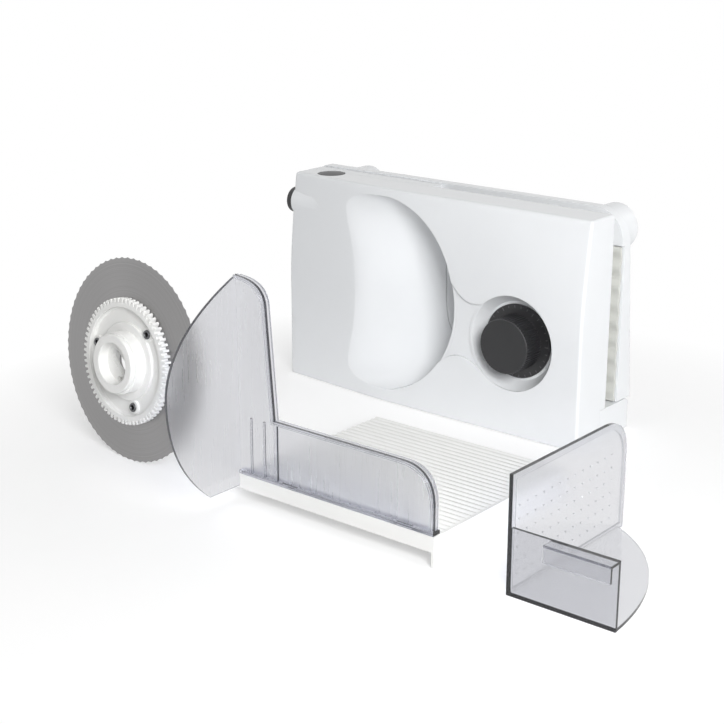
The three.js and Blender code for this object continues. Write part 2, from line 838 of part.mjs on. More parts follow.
function rearShell() {
  const region = slab('y', rearOutline(0), seam + gap, rearFace);
  const inner = slab('y', rearOutline(-wall), seam + gap - overrun, rearFace - wall);
  const pinionCup = rod('y', pinionTip + slip + wall, pocketFloor - wall, rearFace, pinionAt);
  const hollow = cut(
    housingBody(wall, rearFace - wall).intersect(inner),
    bowlSkin,
    turned('y', socketProfile(wall), bladeAt, fine),
    pinionCup,
    rod('y', bushRadius + gap + wall, pocketFloor - bushLength, rearFace, pinionAt),
    ...screwPlaces.map((place) => screwPostAt(screwPost, seam, rearFace, place)),
  );
  const shell = cut(housingBody(0, rearFace).intersect(region), hollow);
  const lowShelf = box(motorX - shelfWidth, motorX + shelfWidth, motorY - shelfWidth, rearFace - wall / 2,
    rotorShaftBottom + gap, lowerBearing + bearingThickness);
  const switchShelfPlate = box(switchLeft - collarWidth, switchLeft + switchLength + collarWidth,
    sideSwitchFront, rearFace - wall / 2, switchShelf - gap - wall, switchShelf - gap);
  const socketFront = turned('y', socketProfile(wall), bladeAt, fine)
    .intersect(box(bladeSeatX - pocketRadius, bladeSeatX + pocketRadius,
      housingFront, pocketFloor - wall / 2, bladeSeatZ - pocketRadius, bladeSeatZ + pocketRadius));
  const bushBoss = rod('y', bushRadius + gap + wall, pocketFloor - bushLength, pocketFloor, pinionAt);
  const standoffHeights = [boardBottom + standoffRadius * 2, boardBottom + boardHeight - standoffRadius * 2];
  const standoffs = standoffHeights.map((z) => rod('y', standoffRadius, boardPlace + boardThickness + gap,
    rearFace - wall / 2, [boardLeft + boardWidth / 2, z], small));
  const body = join(shell, lowShelf, switchShelfPlate, socketFront, bushBoss, ...standoffs,
    motorSaddle(motorBottom + saddleInset), motorSaddle(motorTop - saddleInset - saddleThickness));
  return cut(
    body,
    bowl,
    slit,
    topButtonHole,
    turned('y', socketProfile(0), bladeAt, fine),
    rod('y', pinionTip + slip, pocketFloor, rearFace + overrun, pinionAt),
    rod('y', bushRadius + gap, pocketFloor - bushLength - overrun, rearFace, pinionAt),
    rod('z', bearingRadius + gap, lowerBearing, lowerBearing + bearingThickness + wall, motorAt),
    rod('z', rotorShaftRadius + gap, rotorShaftBottom - overrun, lowerBearing + gap, motorAt, small),
    rod('y', spindleRadius + gap, socketFloor - wall - overrun, rearFace, bladeAt),
    ...screwPlaces.map((place) => screwPostAt(screwShank + gap, seam - overrun, rearFace, place)),
    ...screwPlaces.map((place) => (
      screwPostAt(screwHead + gap, rearFace - screwHeadDepth - gap * 2, rearFace + overrun, place)
    )),
  );
}
piece('rear_shell', rearShell(), whiteGloss);

for (const [number, place] of screwPlaces.entries()) {
  const seat = rearFace - screwHeadDepth - gap;
  piece(`housing_screw_${number + 1}`, screw(screwFront, seat, place), brightSteel);
}

const footNames = ['housing_foot_left', 'housing_foot_right'];
for (const [number, x] of footPlaces.entries()) {
  const top = housingLift + footThickness / 2 - gap;
  piece(footNames[number], rod('z', footRadius, 0, top, [x, footY]), rubber);
}

// Foot bar along the bottom of the housing's back, with the knuckles of the fold hinge
function footBar() {
  const profile = new THREE.Shape();
  profile.moveTo(barFront, 0);
  profile.lineTo(barBack, 0);
  profile.absarc(hingeY, hingeZ, knuckleRadius, 0, Math.PI / 2, false);
  profile.lineTo(barFront, barTop);
  const openings = [];
  for (const side of [-1, 1]) {
    const middle = side * knuckleX;
    const half = knuckleWidth / 2 + gap;
    openings.push(
      box(middle - half, middle + half, hingeY - knuckleRadius - slip, barBack + overrun,
        hingeZ - knuckleRadius - slip, barTop + overrun),
      rod('x', hingePinRadius + gap, middle - hingePinLength / 2 - gap, middle + hingePinLength / 2 + gap,
        [hingeY, hingeZ]),
      box(Math.min(side * barPocketFrom, side * barPocketTo),
        Math.max(side * barPocketFrom, side * barPocketTo),
        barFront + barWall, barBack - barWall, -overrun, barPocketDepth),
    );
  }
  return cut(slab('x', profile, housingLeft, housingRight, 8), ...openings);
}
piece('foot_bar', footBar(), whiteGloss);

const sides = [['left', -1], ['right', 1]];
for (const [name, side] of sides) {
  const middle = side * knuckleX;
  const pin = rod('x', hingePinRadius, middle - hingePinLength / 2, middle + hingePinLength / 2,
    [hingeY, hingeZ]);
  piece(`hinge_pin_${name}`, pin, brightSteel);
}

// Spindle that the blade's hub locks on
function spindle() {
  const profile = [
    [0, socketFloor - wall], [spindleRadius, socketFloor - wall], [spindleRadius, spindleEnd - overrun],
    [spindleRadius - overrun / 2, spindleEnd], [0, spindleEnd],
  ];
  return turned('y', profile, bladeAt);
}
piece('blade_spindle', spindle(), brightSteel);

// Motor
const canInner = motorRadius - canWall;
piece('motor_can', cut(
  rod('z', motorRadius, motorBottom, motorTop, motorAt, fine),
  rod('z', canInner, motorBottom + canWall, motorTop + overrun, motorAt, fine),
  rod('z', rotorShaftRadius + slip, motorBottom - overrun, motorTop, motorAt),
), motorSteel);
piece('motor_end_cap', tube('z', bearingRadius + gap, motorRadius, motorTop + gap,
  motorTop + gap + capThickness, motorAt, fine), blackPlastic);
piece('upper_bearing', tube('z', rotorShaftRadius + gap, bearingRadius, motorTop + gap,
  motorTop + gap + bearingThickness, motorAt), bronze);
piece('lower_bearing', tube('z', rotorShaftRadius + gap, bearingRadius, lowerBearing + gap,
  lowerBearing + gap + bearingThickness, motorAt), bronze);

function arcBar(innerRadius, outerRadius, halfAngle, middleAngle, from, to) {
  const shape = new THREE.Shape();
  const start = (middleAngle - halfAngle) * degree;
  const end = (middleAngle + halfAngle) * degree;
  shape.absarc(motorX, motorY, outerRadius, start, end, false);
  shape.absarc(motorX, motorY, innerRadius, end, start, true);
  return slab('z', shape, from, to, 10);
}
for (const [name, side] of sides) {
  const bar = arcBar(canInner - gap - magnetThickness, canInner - gap, magnetHalfAngle,
    side > 0 ? 0 : 180, motorBottom + magnetMargin, motorTop - magnetMargin);
  piece(`motor_magnet_${name}`, bar, magnetBlack);
}

function armature() {
  const points = [];
  for (let slot = 0; slot < armatureSlots; slot++) {
    const pitch = 360 / armatureSlots;
    const middle = pitch * slot;
    const slotFloor = armatureRadius - slotDepth;
    for (const [angle, radius] of [
      [slotHalfAngle, armatureRadius], [pitch / 2, armatureRadius],
      [pitch - slotHalfAngle, armatureRadius], [pitch - slotHalfAngle / 2, slotFloor],
      [pitch + slotHalfAngle / 2, slotFloor],
    ]) {
      const turn = (middle + angle) * degree;
      points.push([motorX + radius * Math.cos(turn), motorY + radius * Math.sin(turn)]);
    }
  }
  const core = slab('z', outline(points), motorBottom + magnetMargin + gap, motorTop - magnetMargin - gap);
  return cut(core, rod('z', rotorShaftRadius + gap, motorBottom, motorTop, motorAt, small));
}
piece('armature', armature(), copper);
piece('commutator', tube('z', rotorShaftRadius + gap, commutatorRadius, commutatorBottom, commutatorTop,
  motorAt), copper);
piece('motor_shaft', rod('z', rotorShaftRadius, rotorShaftBottom, rotorShaftTop, motorAt, small),
  brightSteel);
for (const [name, side] of sides) {
  const near = motorX + side * (commutatorRadius + gap);
  const far = near + side * brushLength;
  piece(`motor_brush_${name}`, box(Math.min(near, far), Math.max(near, far), motorY - brushWidth / 2,
    motorY + brushWidth / 2, commutatorBottom + gap, motorTop), magnetBlack);
}

// Worm on the motor shaft: a core with one helical thread.
function worm() {
  const pitch = Math.PI * wheelModule;
  const turns = wormHalfLength * 2 / pitch - 1;
  const steps = Math.round(turns * wormSteps);
  const rings = [];
  for (let k = 0; k <= steps; k++) {
    const angle = (k / steps - 0.5) * turns * 2 * Math.PI;
    const z = wormMiddle + angle / (2 * Math.PI) * pitch;
    const section = [
      [wormCoreRadius - gap, -wormThread / 2], [wormTipRadius, -wormThread / 4],
      [wormTipRadius, wormThread / 4], [wormCoreRadius - gap, wormThread / 2],
    ];
    rings.push(section.map(([radius, up]) => [
      motorX + radius * Math.cos(angle), motorY + radius * Math.sin(angle), z + up,
    ]));
  }
  const core = rod('z', wormCoreRadius, wormMiddle - wormHalfLength, wormMiddle + wormHalfLength, motorAt);
  const bore = rod('z', rotorShaftRadius + gap, rotorShaftBottom, motorBottom, motorAt, small);
  return cut(join(core, loft(rings)), bore);
}
piece('worm', worm(), brightSteel);

// Worm wheel and drive pinion on one shaft. A gap between two teeth faces the worm's thread.
function gearWheel(shape, from, to) {
  const bore = rod('y', pinionShaftRadius + gap, housingFront, rearFace, [0, 0]);
  return cut(slab('y', shape, from, to), bore).translate([pinionX, 0, pinionZ]);
}
const wheelShape = toothed(wheelTeeth, wheelPitchRadius + wheelModule / 2, wheelPitchRadius - wheelToothDepth,
  Math.PI + Math.PI / wheelTeeth);
piece('worm_wheel', gearWheel(wheelShape, motorY - wheelWidth / 2, motorY + wheelWidth / 2), whiteSatin);
const pinionShape = toothed(pinionTeeth, pinionTip, pinionPitchRadius - gearToothDepth);
piece('drive_pinion', gearWheel(pinionShape, pinionFront, pinionBack), whiteSatin);
piece('pinion_shaft', rod('y', pinionShaftRadius, pinionShaftFront, pinionBack, pinionAt), brightSteel);
piece('gear_bush', tube('y', pinionShaftRadius + gap, bushRadius, pocketFloor - bushLength, pocketFloor,
  pinionAt), bronze);

// Buttons and their switches
function topButton() {
  const top = housingTop + topButtonProud;
  const under = top - topButtonDepth;
  const collarTop = housingTop - wall - gap - buttonTravel;
  const collar = topButtonRadius + collarWidth;
  const profile = [
    [0, topStemEnd], [stemRadius, topStemEnd], [stemRadius, under - buttonTravel],
    [collar, under - buttonTravel], [collar, collarTop], [topButtonRadius, collarTop],
    [topButtonRadius, top - topButtonProud / 2], [topButtonRadius - topButtonProud, top], [0, top],
  ];
  return turned('z', profile, [topButtonX, topButtonY]);
}
piece('top_button', topButton(), blackPlastic);

function sideButton() {
  const face = housingLeft - sideButtonProud;
  const profile = [
    [0, face], [sideButtonRadius - topButtonProud, face], [sideButtonRadius, face + topButtonProud],
    [sideButtonRadius, sideButtonSeat], [sideStemRadius, sideButtonSeat], [sideStemRadius, sideStemEnd],
    [0, sideStemEnd],
  ];
  return turned('x', profile, [sideButtonY, sideButtonZ]);
}
piece('side_button', sideButton(), blackPlastic);

function switchBody(front) {
  return box(switchLeft, switchLeft + switchLength, front, front + switchWidth,
    switchShelf, switchShelf + switchHeight);
}
piece('top_switch', join(
  switchBody(topSwitchFront),
  rod('z', plungerRadius, switchShelf + switchHeight - gap, switchShelf + switchHeight + plungerLength,
    [topButtonX, topButtonY], small),
), blackPlastic);
piece('side_switch', join(
  switchBody(sideSwitchFront),
  rod('x', plungerRadius, switchLeft - plungerLength, switchLeft + gap, [sideButtonY, sideButtonZ],
    small),
), blackPlastic);

// Rectifier board and cord inlet
function board() {
  const plate = box(boardLeft, boardLeft + boardWidth, boardPlace, boardPlace + boardThickness,
    boardBottom, boardBottom + boardHeight);
  const blocks = boardPartShares.map((share) => {
    const z = boardBottom + share * boardHeight;
    const x = boardLeft + boardWidth / 2;
    return box(x - boardPartWidth / 2, x + boardPartWidth / 2, boardPlace - boardPartHeight,
      boardPlace + gap, z - boardPartWidth / 4, z + boardPartWidth / 2);
  });
  return join(plate, ...blocks);
}
piece('rectifier_board', board(), boardGreen);

function cordGland() {
  const outer = housingLeft - gap;
  const inner = housingLeft + wall + gap;
  const profile = [
    [glandBore, outer - glandFlangeDepth], [glandFlange, outer - glandFlangeDepth], [glandFlange, outer],
    [glandRadius, outer], [glandRadius, inner], [glandFlange, inner], [glandFlange, inner + glandFlangeDepth],
    [glandBore, inner + glandFlangeDepth], [glandBore, outer - glandFlangeDepth],
  ];
  return turned('x', profile, [glandY, glandZ]);
}
piece('cord_gland', cordGland(), rubber);

// Thickness knob, with its dial disc and shaft
function knob() {
  const face = housingFront - knobProud;
  const dialBack = wellFloor - gap;
  const dialFront = dialBack - dialThickness;
  const root = knobRadius - knobRibDepth;
  const grip = slab('y', toothed(knobRibs, knobRadius, root), face + knobEdge, dialFront + gap);
  const cap = turned('y', [
    [0, face], [root - knobEdge, face], [root, face + knobEdge + gap], [0, face + knobEdge + gap],
  ], [0, 0], knobRibs);
  const dial = rod('y', dialRadius, dialFront, dialBack, [0, 0], fine);
  const shaft = rod('y', knobShaftRadius, dialBack - gap, knobShaftEnd, [0, 0]);
  const hole = rod('y', camScrewRadius + gap, knobShaftEnd - camScrewLength, knobShaftEnd + overrun,
    [0, 0], small);
  return cut(join(grip, cap, dial, shaft), hole).translate([knobX, 0, knobZ]);
}
piece('thickness_knob', knob(), blackPlastic);

// Cam behind the knob: a drum whose helical groove moves the stop plate's peg.
function camGroove() {
  const reach = pegRadius + grooveClear;
  const steps = 18;
  const first = -camTurn - camRunout;
  const last = camRunout;
  const rings = [];
  for (let k = 0; k <= steps; k++) {
    const turn = first + (last - first) * k / steps;
    const y = pegPlace + camTravel * Math.min(0, Math.max(-camTurn, turn)) / camTurn;
    const section = [
      [camCoreRadius, -reach], [camRadius + overrun, -reach],
      [camRadius + overrun, reach], [camCoreRadius, reach],
    ];
    rings.push(section.map(([radius, along]) => [
      radius * Math.sin(turn * degree), y + along, radius * Math.cos(turn * degree),
    ]));
  }
  return loft(rings);
}
function cam() {
  const drum = rod('y', camRadius, camFront, camBack, [0, 0], fine);
  const boreEnd = camBack - camScrewHeadDepth - overrun;
  const bore = rod('y', knobShaftRadius + gap, camFront - overrun, boreEnd, [0, 0]);
  const headFloor = camBack - camScrewHeadDepth - slip;
  const headSeat = rod('y', camScrewHead + gap, headFloor, camBack + overrun, [0, 0]);
  const screwHole = rod('y', camScrewRadius + gap, camFront, camBack, [0, 0], small);
  return cut(drum, camGroove(), bore, headSeat, screwHole).translate([knobX, 0, knobZ]);
}
piece('thickness_cam', cam(), whiteSatin);

function camScrew() {
  const seat = camBack - camScrewHeadDepth - gap;
  const tip = knobShaftEnd - camScrewLength + gap;
  const profile = [
    [0, tip], [camScrewRadius, tip], [camScrewRadius, seat],
    [camScrewHead, seat], [camScrewHead, seat + camScrewHeadDepth], [0, seat + camScrewHeadDepth],
  ];
  return turned('y', profile, knobAt);
}
piece('cam_screw', camScrew(), brightSteel);

// Cover behind the cam, with the sleeves of the stop plate's guide rods
function camCover() {
  const back = coverFront + coverThickness;
  const inset = wall + gap;
  const plate = housingBody(inset, back).intersect(
    box(coverLeft, housingRight, coverFront, back, barTop + gap, housingTop));
  const sleeveFront = coverFront - guideSleeve;
  const sleeves = guidePlaces.map((place) => rod('y', guideBossRadius, sleeveFront, back, place));
  const front = coverFront - overrun;
  const past = back + overrun;
  const holes = guidePlaces.map((place) => rod('y', guideRadius + gap, front - guideSleeve, past, place));
  const armSpace = box(knobX - armWidth / 2 - slip, knobX + armWidth / 2 + slip, front, past,
    knobZ + camRadius, knobZ + camRadius + armThickness + 2 * slip + overrun);
  const bladeSpace = rod('y', bowlRadius + wall + slip, front, past, bladeAt, fine);
  const screwHoles = coverScrewPlaces.map((place) => screwPostAt(screwShank + gap, front, past, place));
  return cut(join(plate, ...sleeves), ...holes, ...screwHoles, armSpace, bladeSpace);
}
piece('cam_cover', camCover(), whiteSatin);

function screw(front, seat, place) {
  return turned('y', [
    [0, front], [screwShank, front], [screwShank, seat], [screwHead, seat],
    [screwHead, seat + screwHeadDepth], [0, seat + screwHeadDepth],
  ], place, small);
}
for (const [number, place] of coverScrewPlaces.entries()) {
  const seat = coverFront + coverThickness + gap;
  piece(`cover_screw_${number + 1}`, screw(coverFront - coverScrewLength, seat, place), brightSteel);
}

// Corrugated stop plate, with its arm and peg
function stopPlate() {
  const shape = new THREE.Shape();
  const steps = Math.round((stopPlateTop - stopPlateBottom) / wavePitch * waveSteps);
  const wave = (z) => waveHeight * Math.cos((z - stopPlateBottom) / wavePitch * 2 * Math.PI);
  const height = (k) => stopPlateBottom + (stopPlateTop - stopPlateBottom) * k / steps;
  const middle = stopPlateFace + waveHeight;
  for (let k = 0; k <= steps; k++) {
    const point = [middle + wave(height(k)), height(k)];
    if (k === 0) shape.moveTo(...point);
    else shape.lineTo(...point);
  }
  for (let k = steps; k >= 0; k--) {
    shape.lineTo(middle + wave(height(k)) + stopPlateThickness, height(k));
  }
  const plate = slab('x', shape, bladeSeatX, stopPlateRight);
  const clear = rod('y', bladeRadius + stopPlateClear, stopPlateFace - overrun, baseInner, bladeAt, fine);
  const back = middle + waveHeight;
  const armBottom = knobZ + camRadius + slip;
  const arm = box(knobX - armWidth / 2, knobX + armWidth / 2, pegPlace - pegRadius - gap, back,
    armBottom, armBottom + armThickness);
  const peg = rod('z', pegRadius, knobZ + camCoreRadius + pegEnd, armBottom + gap, [knobX, pegPlace], small);
  const bossFront = stopPlateFace - guideBossDepth;
  const bosses = guidePlaces.map((place) => rod('y', guideBossRadius, bossFront, back, place));
  const bores = guidePlaces.map((place) => (
    rod('y', guideRadius + gap, bossFront - overrun, stopPlateFace, place)
  ));
  return cut(join(cut(plate, clear), arm, peg, ...bosses), ...bores);
}
piece('stop_plate', stopPlate(), whiteSatin);
const guideNames = ['guide_rod_upper', 'guide_rod_lower'];
for (const [number, place] of guidePlaces.entries()) {
  piece(guideNames[number], rod('y', guideRadius, guideEnd, stopPlateFace - gap, place), brightSteel);
}

// Folded base: a shallow tray with a rail, two foot barrels and the hinge's lugs
function baseTray() {
  const bottom = barTop + baseLift;
  const outerAt = (z) => baseOuterLow + (baseOuterHigh - baseOuterLow) * (z - bottom) / (baseTop - bottom);
  const block = slab('x', outline([
    [baseInner, bottom], [outerAt(bottom), bottom], [outerAt(baseTop), baseTop], [railFront, baseTop],
    [railFront, railBottom], [baseInner, railBottom],
  ]), housingLeft, housingRight);
  const frame = (inset, low, high) => {
    const shape = new THREE.Shape();
    const corner = baseCorner - inset;
    const cornerLeft = baseCornerLeft - inset;
    shape.moveTo(housingLeft + inset, low);
    shape.lineTo(housingRight - inset, low);
    shape.absarc(housingRight - baseCorner, high - corner, corner, 0, Math.PI / 2, false);
    shape.absarc(housingLeft + baseCornerLeft, high - cornerLeft, cornerLeft, Math.PI / 2, Math.PI, false);
    return shape;
  };
  const past = baseOuterLow + overrun;
  const body = block.intersect(slab('y', frame(0, bottom, baseTop), railFront - overrun, past, small));
  const floor = baseInner + baseWall;
  const within = frame(baseWall, bottom + baseWall, baseTop - baseWall);
  const trayHollow = slab('y', within, floor, past, small)
    .intersect(box(housingLeft, housingRight, floor - overrun, past, bottom, railBottom));
  const railHollow = slab('y', within, railFront + baseWall, past, small)
    .intersect(box(housingLeft, housingRight, railFront, past, railBottom + baseWall, baseTop));
  const ribs = [];
  for (let k = 1; k < baseColumns; k++) {
    const x = housingLeft + (housingRight - housingLeft) * k / baseColumns;
    ribs.push(box(x - baseRib / 2, x + baseRib / 2, floor - gap, baseOuterLow, bottom, baseTop));
  }
  for (let k = 1; k < baseRows; k++) {
    const z = bottom + (railBottom - bottom) * k / baseRows;
    ribs.push(box(housingLeft, housingRight, floor - gap, baseOuterLow, z - baseRib / 2, z + baseRib / 2));
  }
  const grid = join(...ribs).intersect(body);
  const barrelEnd = hingeY + hingeZ - padThickness - gap;
  const barrels = [];
  const barrelHollows = [];
  const lugs = [];
  const bores = [];
  for (const side of [-1, 1]) {
    const at = [side * barrelX, barrelZ];
    barrels.push(rod('y', barrelRadius, floor - gap, barrelEnd, at, fine));
    barrelHollows.push(rod('y', barrelRadius - barrelWall, floor, barrelEnd - barrelWall, at));
    const middle = side * knuckleX;
    const from = middle - knuckleWidth / 2;
    const to = middle + knuckleWidth / 2;
    lugs.push(
      rod('x', knuckleRadius - gap, from, to, [hingeY, hingeZ]),
      box(from, to, hingeY - knuckleRadius + gap, hingeY + knuckleRadius - gap, hingeZ,
        bottom + baseWall),
    );
    bores.push(rod('x', hingePinRadius + gap, from - overrun, to + overrun, [hingeY, hingeZ]));
    // A drain hole in the barrel's end keeps its hollow open.
    bores.push(rod('y', barrelWall, barrelEnd - barrelWall - overrun, barrelEnd + overrun, at, small));
  }
  const hollowed = join(cut(body, trayHollow, railHollow), grid, ...barrels);
  return cut(join(cut(hollowed, ...barrelHollows), ...lugs), ...bores);
}
piece('base_tray', baseTray(), whiteGloss);
for (const [name, side] of sides) {
  const end = hingeY + hingeZ;
  const pad = rod('y', padRadius, end - padThickness, end, [side * barrelX, barrelZ], fine);
  piece(`base_foot_${name}`, pad, rubber);
}

// Carriage: a ribbed plate on short walls, with one full-height wall on its right
function carriage() {
  const top = carriageTop - carriageRibHeight;
  const under = top - carriagePlate;
  const skirt = carriageTop - carriageSkirt;
  const parts = [
    box(carriageLeft, carriageRight, carriageFront, carriageBack, under, top),
    box(carriageLeft, carriageRight, carriageFront, carriageFront + carriageWall, skirt, carriageTop),
    box(carriageLeft, carriageRight, carriageBack - carriageWall, carriageBack, skirt, top),
    box(carriageLeft, carriageLeft + carriageWall, carriageFront, carriageBack, skirt, top),
    box(carriageRight - carriageWall, carriageRight, carriageFront, carriageBack, 0, carriageTop),
    box(carriageLeft + runnerInset, carriageLeft + runnerInset + runnerWidth,
      carriageFront + carriageMargin, carriageBack - carriageMargin, 0, under + gap),
    box(carriageLeft, carriageRight, carriageFront, carriageFront + carriageMargin, top - gap,
      carriageTop - gap),
  ];
  const first = carriageFront + carriageMargin + carriageWall;
  const pitch = (carriageBack - first) / carriageRibs;
  for (let rib = 0; rib < carriageRibs; rib++) {
    const y = first + rib * pitch;
    parts.push(box(carriageLeft, carriageRight, y, y + pitch * carriageRibWidthShare,
      top - gap, carriageTop));
  }
  for (let rib = 1; rib < crossRibs; rib++) {
    const y = carriageFront + (carriageBack - carriageFront) * rib / crossRibs;
    parts.push(box(carriageLeft, carriageRight, y, y + carriageWall, skirt, top - gap));
  }
  const slots = tabPlaces.map((x) => box(x - tabWidth / 2 - gap, x + tabWidth / 2 + gap,
    guardY - tabThickness / 2 - gap, guardY + tabThickness / 2 + gap,
    carriageTop - tabDepth - gap, carriageTop + overrun));
  return cut(join(...parts), ...slots);
}
piece('carriage_plate', carriage(), whiteSatin);

// Transparent guard: a low wall, a tall part, and a shield that turns towards the user's hand
function guard() {
  const foot = carriageTop + gap;
  const wallOutline = (inset) => {
    const shape = new THREE.Shape();
    const right = guardRight - inset;
    const low = guardLowTop - inset;
    const high = guardTallTop - inset;
    shape.moveTo(guardFoldX, foot);
    shape.lineTo(right, foot);
    shape.lineTo(right, low - guardCorner);
    shape.quadraticCurveTo(right, low, right - guardCorner, low);
    shape.lineTo(guardTallFoot - inset, low);
    shape.lineTo(guardTallShoulder - inset, guardTallRise - inset);
    shape.quadraticCurveTo(guardTallShoulder - inset, high, guardFoldX, high);
    return shape;
  };
  const from = guardY - guardThickness / 2;
  const to = guardY + guardThickness / 2;
  const rimFront = guardY - guardRimDepth / 2;
  const before = guardY - guardRimDepth;
  const behind = guardY + guardRimDepth;
  const sheet = slab('y', wallOutline(0), from, to, small);
  const rim = cut(
    slab('y', wallOutline(0), rimFront, rimFront + guardRimDepth, small),
    slab('y', wallOutline(guardRim), before, behind, small),
    box(guardFoldX - overrun, guardFoldX + guardThickness, before, behind, foot - overrun,
      guardTallTop - guardRim),
  );
  const flange = box(carriageLeft + gap, guardRight, rimFront, rimFront + guardFlangeDepth,
    foot, foot + guardFlange);
  const fins = finPlaces.map((x) => box(x - finWidth / 2, x + finWidth / 2, from - finDepth, from + gap,
    foot, guardLowTop));
  const tabs = tabPlaces.map((x) => box(x - tabWidth / 2, x + tabWidth / 2, guardY - tabThickness / 2,
    guardY + tabThickness / 2, foot - tabDepth, foot + gap));
  const shield = new THREE.Shape();
  shield.moveTo(to, shieldFoot);
  shield.lineTo(guardY - shieldFootReach, shieldFoot);
  const edge = guardY - shieldReach;
  shield.quadraticCurveTo(edge, shieldFoot + shieldFootReach, edge, shieldMiddle);
  shield.quadraticCurveTo(edge, guardTallTop - shieldFootReach, to, guardTallTop);
  const side = slab('x', shield, guardFoldX - guardThickness / 2, guardFoldX + guardThickness / 2);
  const body = join(sheet, rim, flange, ...fins, ...tabs, side);
  // Below the carriage's top the shield keeps clear of the carriage's left wall.
  return cut(body, box(carriageLeft - gap, carriageLeft + overrun, edge, guardY + overrun, 0,
    carriageTop - gap));
}
piece('guard', guard(), smokePlastic);

// Remnant holder: a spiked plate, a side wall with a hook, and a base with a round edge
function remnantHolder() {
  const right = pusherLeft + pusherPlateThickness;
  const back = pusherFront + pusherPlateLength;
  const plateOutline = (inset) => {
    const shape = new THREE.Shape();
    const top = pusherPlateHeight - inset;
    const corner = pusherCorner - inset / 2;
    shape.moveTo(pusherFront + inset, inset);
    shape.lineTo(back - inset, inset);
    shape.lineTo(back - inset, top - corner);
    shape.quadraticCurveTo(back - inset, top, back - inset - corner, top);
    shape.lineTo(pusherFront + inset, top);
    return shape;
  };
  const plate = cut(
    slab('x', plateOutline(0), pusherLeft, right, 8),
    slab('x', plateOutline(pusherRim), right - pusherRimStep, right + overrun, 8),
  );
  const far = pusherLeft + pusherWallLength;
  const baseBack = pusherFront + pusherBaseLength;
  const sideWall = box(pusherLeft, far, pusherFront, pusherFront + pusherWallThickness, 0, pusherWallHeight);
  const edge = new THREE.Shape();
  edge.moveTo(pusherLeft, pusherFront);
  edge.lineTo(far, pusherFront);
  edge.bezierCurveTo(far - pusherEdgeLean, pusherFront + pusherEdgeNear,
    pusherLeft + pusherEdgeFar, baseBack - pusherEdgeDrop, pusherLeft, baseBack);
  const base = slab('z', edge, 0, pusherBaseThickness, coarse);
  const hook = cut(
    box(pusherLeft + hookFrom, far, pusherFront - hookReach, pusherFront + gap,
      pusherWallHeight - hookDrop, pusherWallHeight),
    box(pusherLeft, far + overrun, pusherFront - hookReach + hookWall, pusherFront, 0,
      pusherWallHeight - hookWall),
  );
  const spikes = [];
  for (let row = 0; row < spikeRows; row++) {
    for (let column = 0; column < spikeColumns; column++) {
      const at = [pusherFront + spikeFirstY + column * spikePitchY, spikeFirstZ + row * spikePitchZ];
      const profile = [[0, pusherLeft + gap], [spikeRadius, pusherLeft + gap], [0, pusherLeft - spikeLength]];
      spikes.push(turned('x', profile, at, 4));
    }
  }
  return join(plate, sideWall, base, hook, ...spikes);
}
piece('remnant_holder', remnantHolder(), smokePlastic);

// Blade with its gear, standing on its edge and leaning back. Its own axis is Y.
const bladeStand = new THREE.Group();
bladeStand.position.set(bladeStandX, bladeStandY,
  bladeRadius * Math.cos(bladeTilt * degree) + bladeThickness * Math.sin(bladeTilt * degree) / 2);
bladeStand.rotation.set(-bladeTilt * degree, 0, bladeYaw * degree, 'ZYX');
slicer.add(bladeStand);

function blade() {
  const edge = toothed(scallops, bladeRadius, bladeRadius - scallopDepth);
  const disc = slab('y', edge, -bladeThickness / 2, bladeThickness / 2);
  const holes = [rod('y', hubBore, -overrun, overrun, [0, 0])];
  for (let k = 0; k < rivets; k++) {
    holes.push(rod('y', rivetRadius + gap, -overrun, overrun, rivetAt(k), small));
  }
  return cut(disc, ...holes);
}

function rivetAt(number) {
  const angle = (number / rivets + rivetTurnShare) * 2 * Math.PI;
  return [rivetCircle * Math.cos(angle), rivetCircle * Math.sin(angle)];
}
piece('blade_disc', blade(), bladeSteel, bladeStand);

function bladeGear() {
  const back = -bladeThickness / 2 - gap;
  const face = -gearDepth;
  const teeth = toothed(gearTeeth, gearPitchRadius + gearModule, gearPitchRadius - gearToothDepth);
  const ring = slab('y', teeth, face, back);
  const rimInner = gearPitchRadius - gearRimWidth;
  const hollow = rod('y', rimInner, face - overrun, -gearWebDepth, [0, 0], fine);
  const hub = turned('y', [
    [0, -hubNoseDepth], [hubNoseRadius, -hubNoseDepth], [hubNoseRadius, -hubNeckDepth],
    [hubNeckRadius, -hubNeckDepth], [hubNeckRadius, -hubBossDepth],
    [hubBossRadius, -hubBossDepth], [hubBossRadius, back], [0, back],
  ], [0, 0], fine);
  const bosses = [];
  const bores = [];
  for (let k = 0; k < rivets; k++) {
    bosses.push(rod('y', rivetBossRadius, -rivetBossDepth, back, rivetAt(k)));
    bores.push(rod('y', rivetRadius + gap, face - overrun, back + overrun, rivetAt(k), small));
  }
  const bore = rod('y', hubBore, -hubNoseDepth - overrun, back + overrun, [0, 0]);
  const recessFloor = hubRecessDepth - hubNoseDepth;
  const recess = rod('y', hubRecessRadius, -hubNoseDepth - overrun, recessFloor, [0, 0], fine);
  const slots = box(-hubSlotReach, hubSlotReach, recessFloor - overrun, recessFloor + hubSlotDepth,
    -hubSlotWidth / 2, hubSlotWidth / 2).rotate([0, hubSlotTurn, 0]);
  return cut(join(cut(ring, hollow), hub, ...bosses), bore, recess, slots, ...bores);
}
piece('blade_gear', bladeGear(), whiteSatin, bladeStand);

for (let k = 0; k < rivets; k++) {
  const front = -rivetBossDepth - gap;
  const back = bladeThickness / 2 + gap;
  const head = front - rivetHeadDepth;
  const tail = back + rivetHeadDepth;
  const profile = [
    [0, head], [rivetHeadRadius, head], [rivetHeadRadius, front], [rivetRadius, front],
    [rivetRadius, back], [rivetHeadRadius, back], [rivetHeadRadius, tail], [0, tail],
  ];
  piece(`blade_rivet_${k + 1}`, turned('y', profile, rivetAt(k), small), brightSteel, bladeStand);
}

export default slicer;
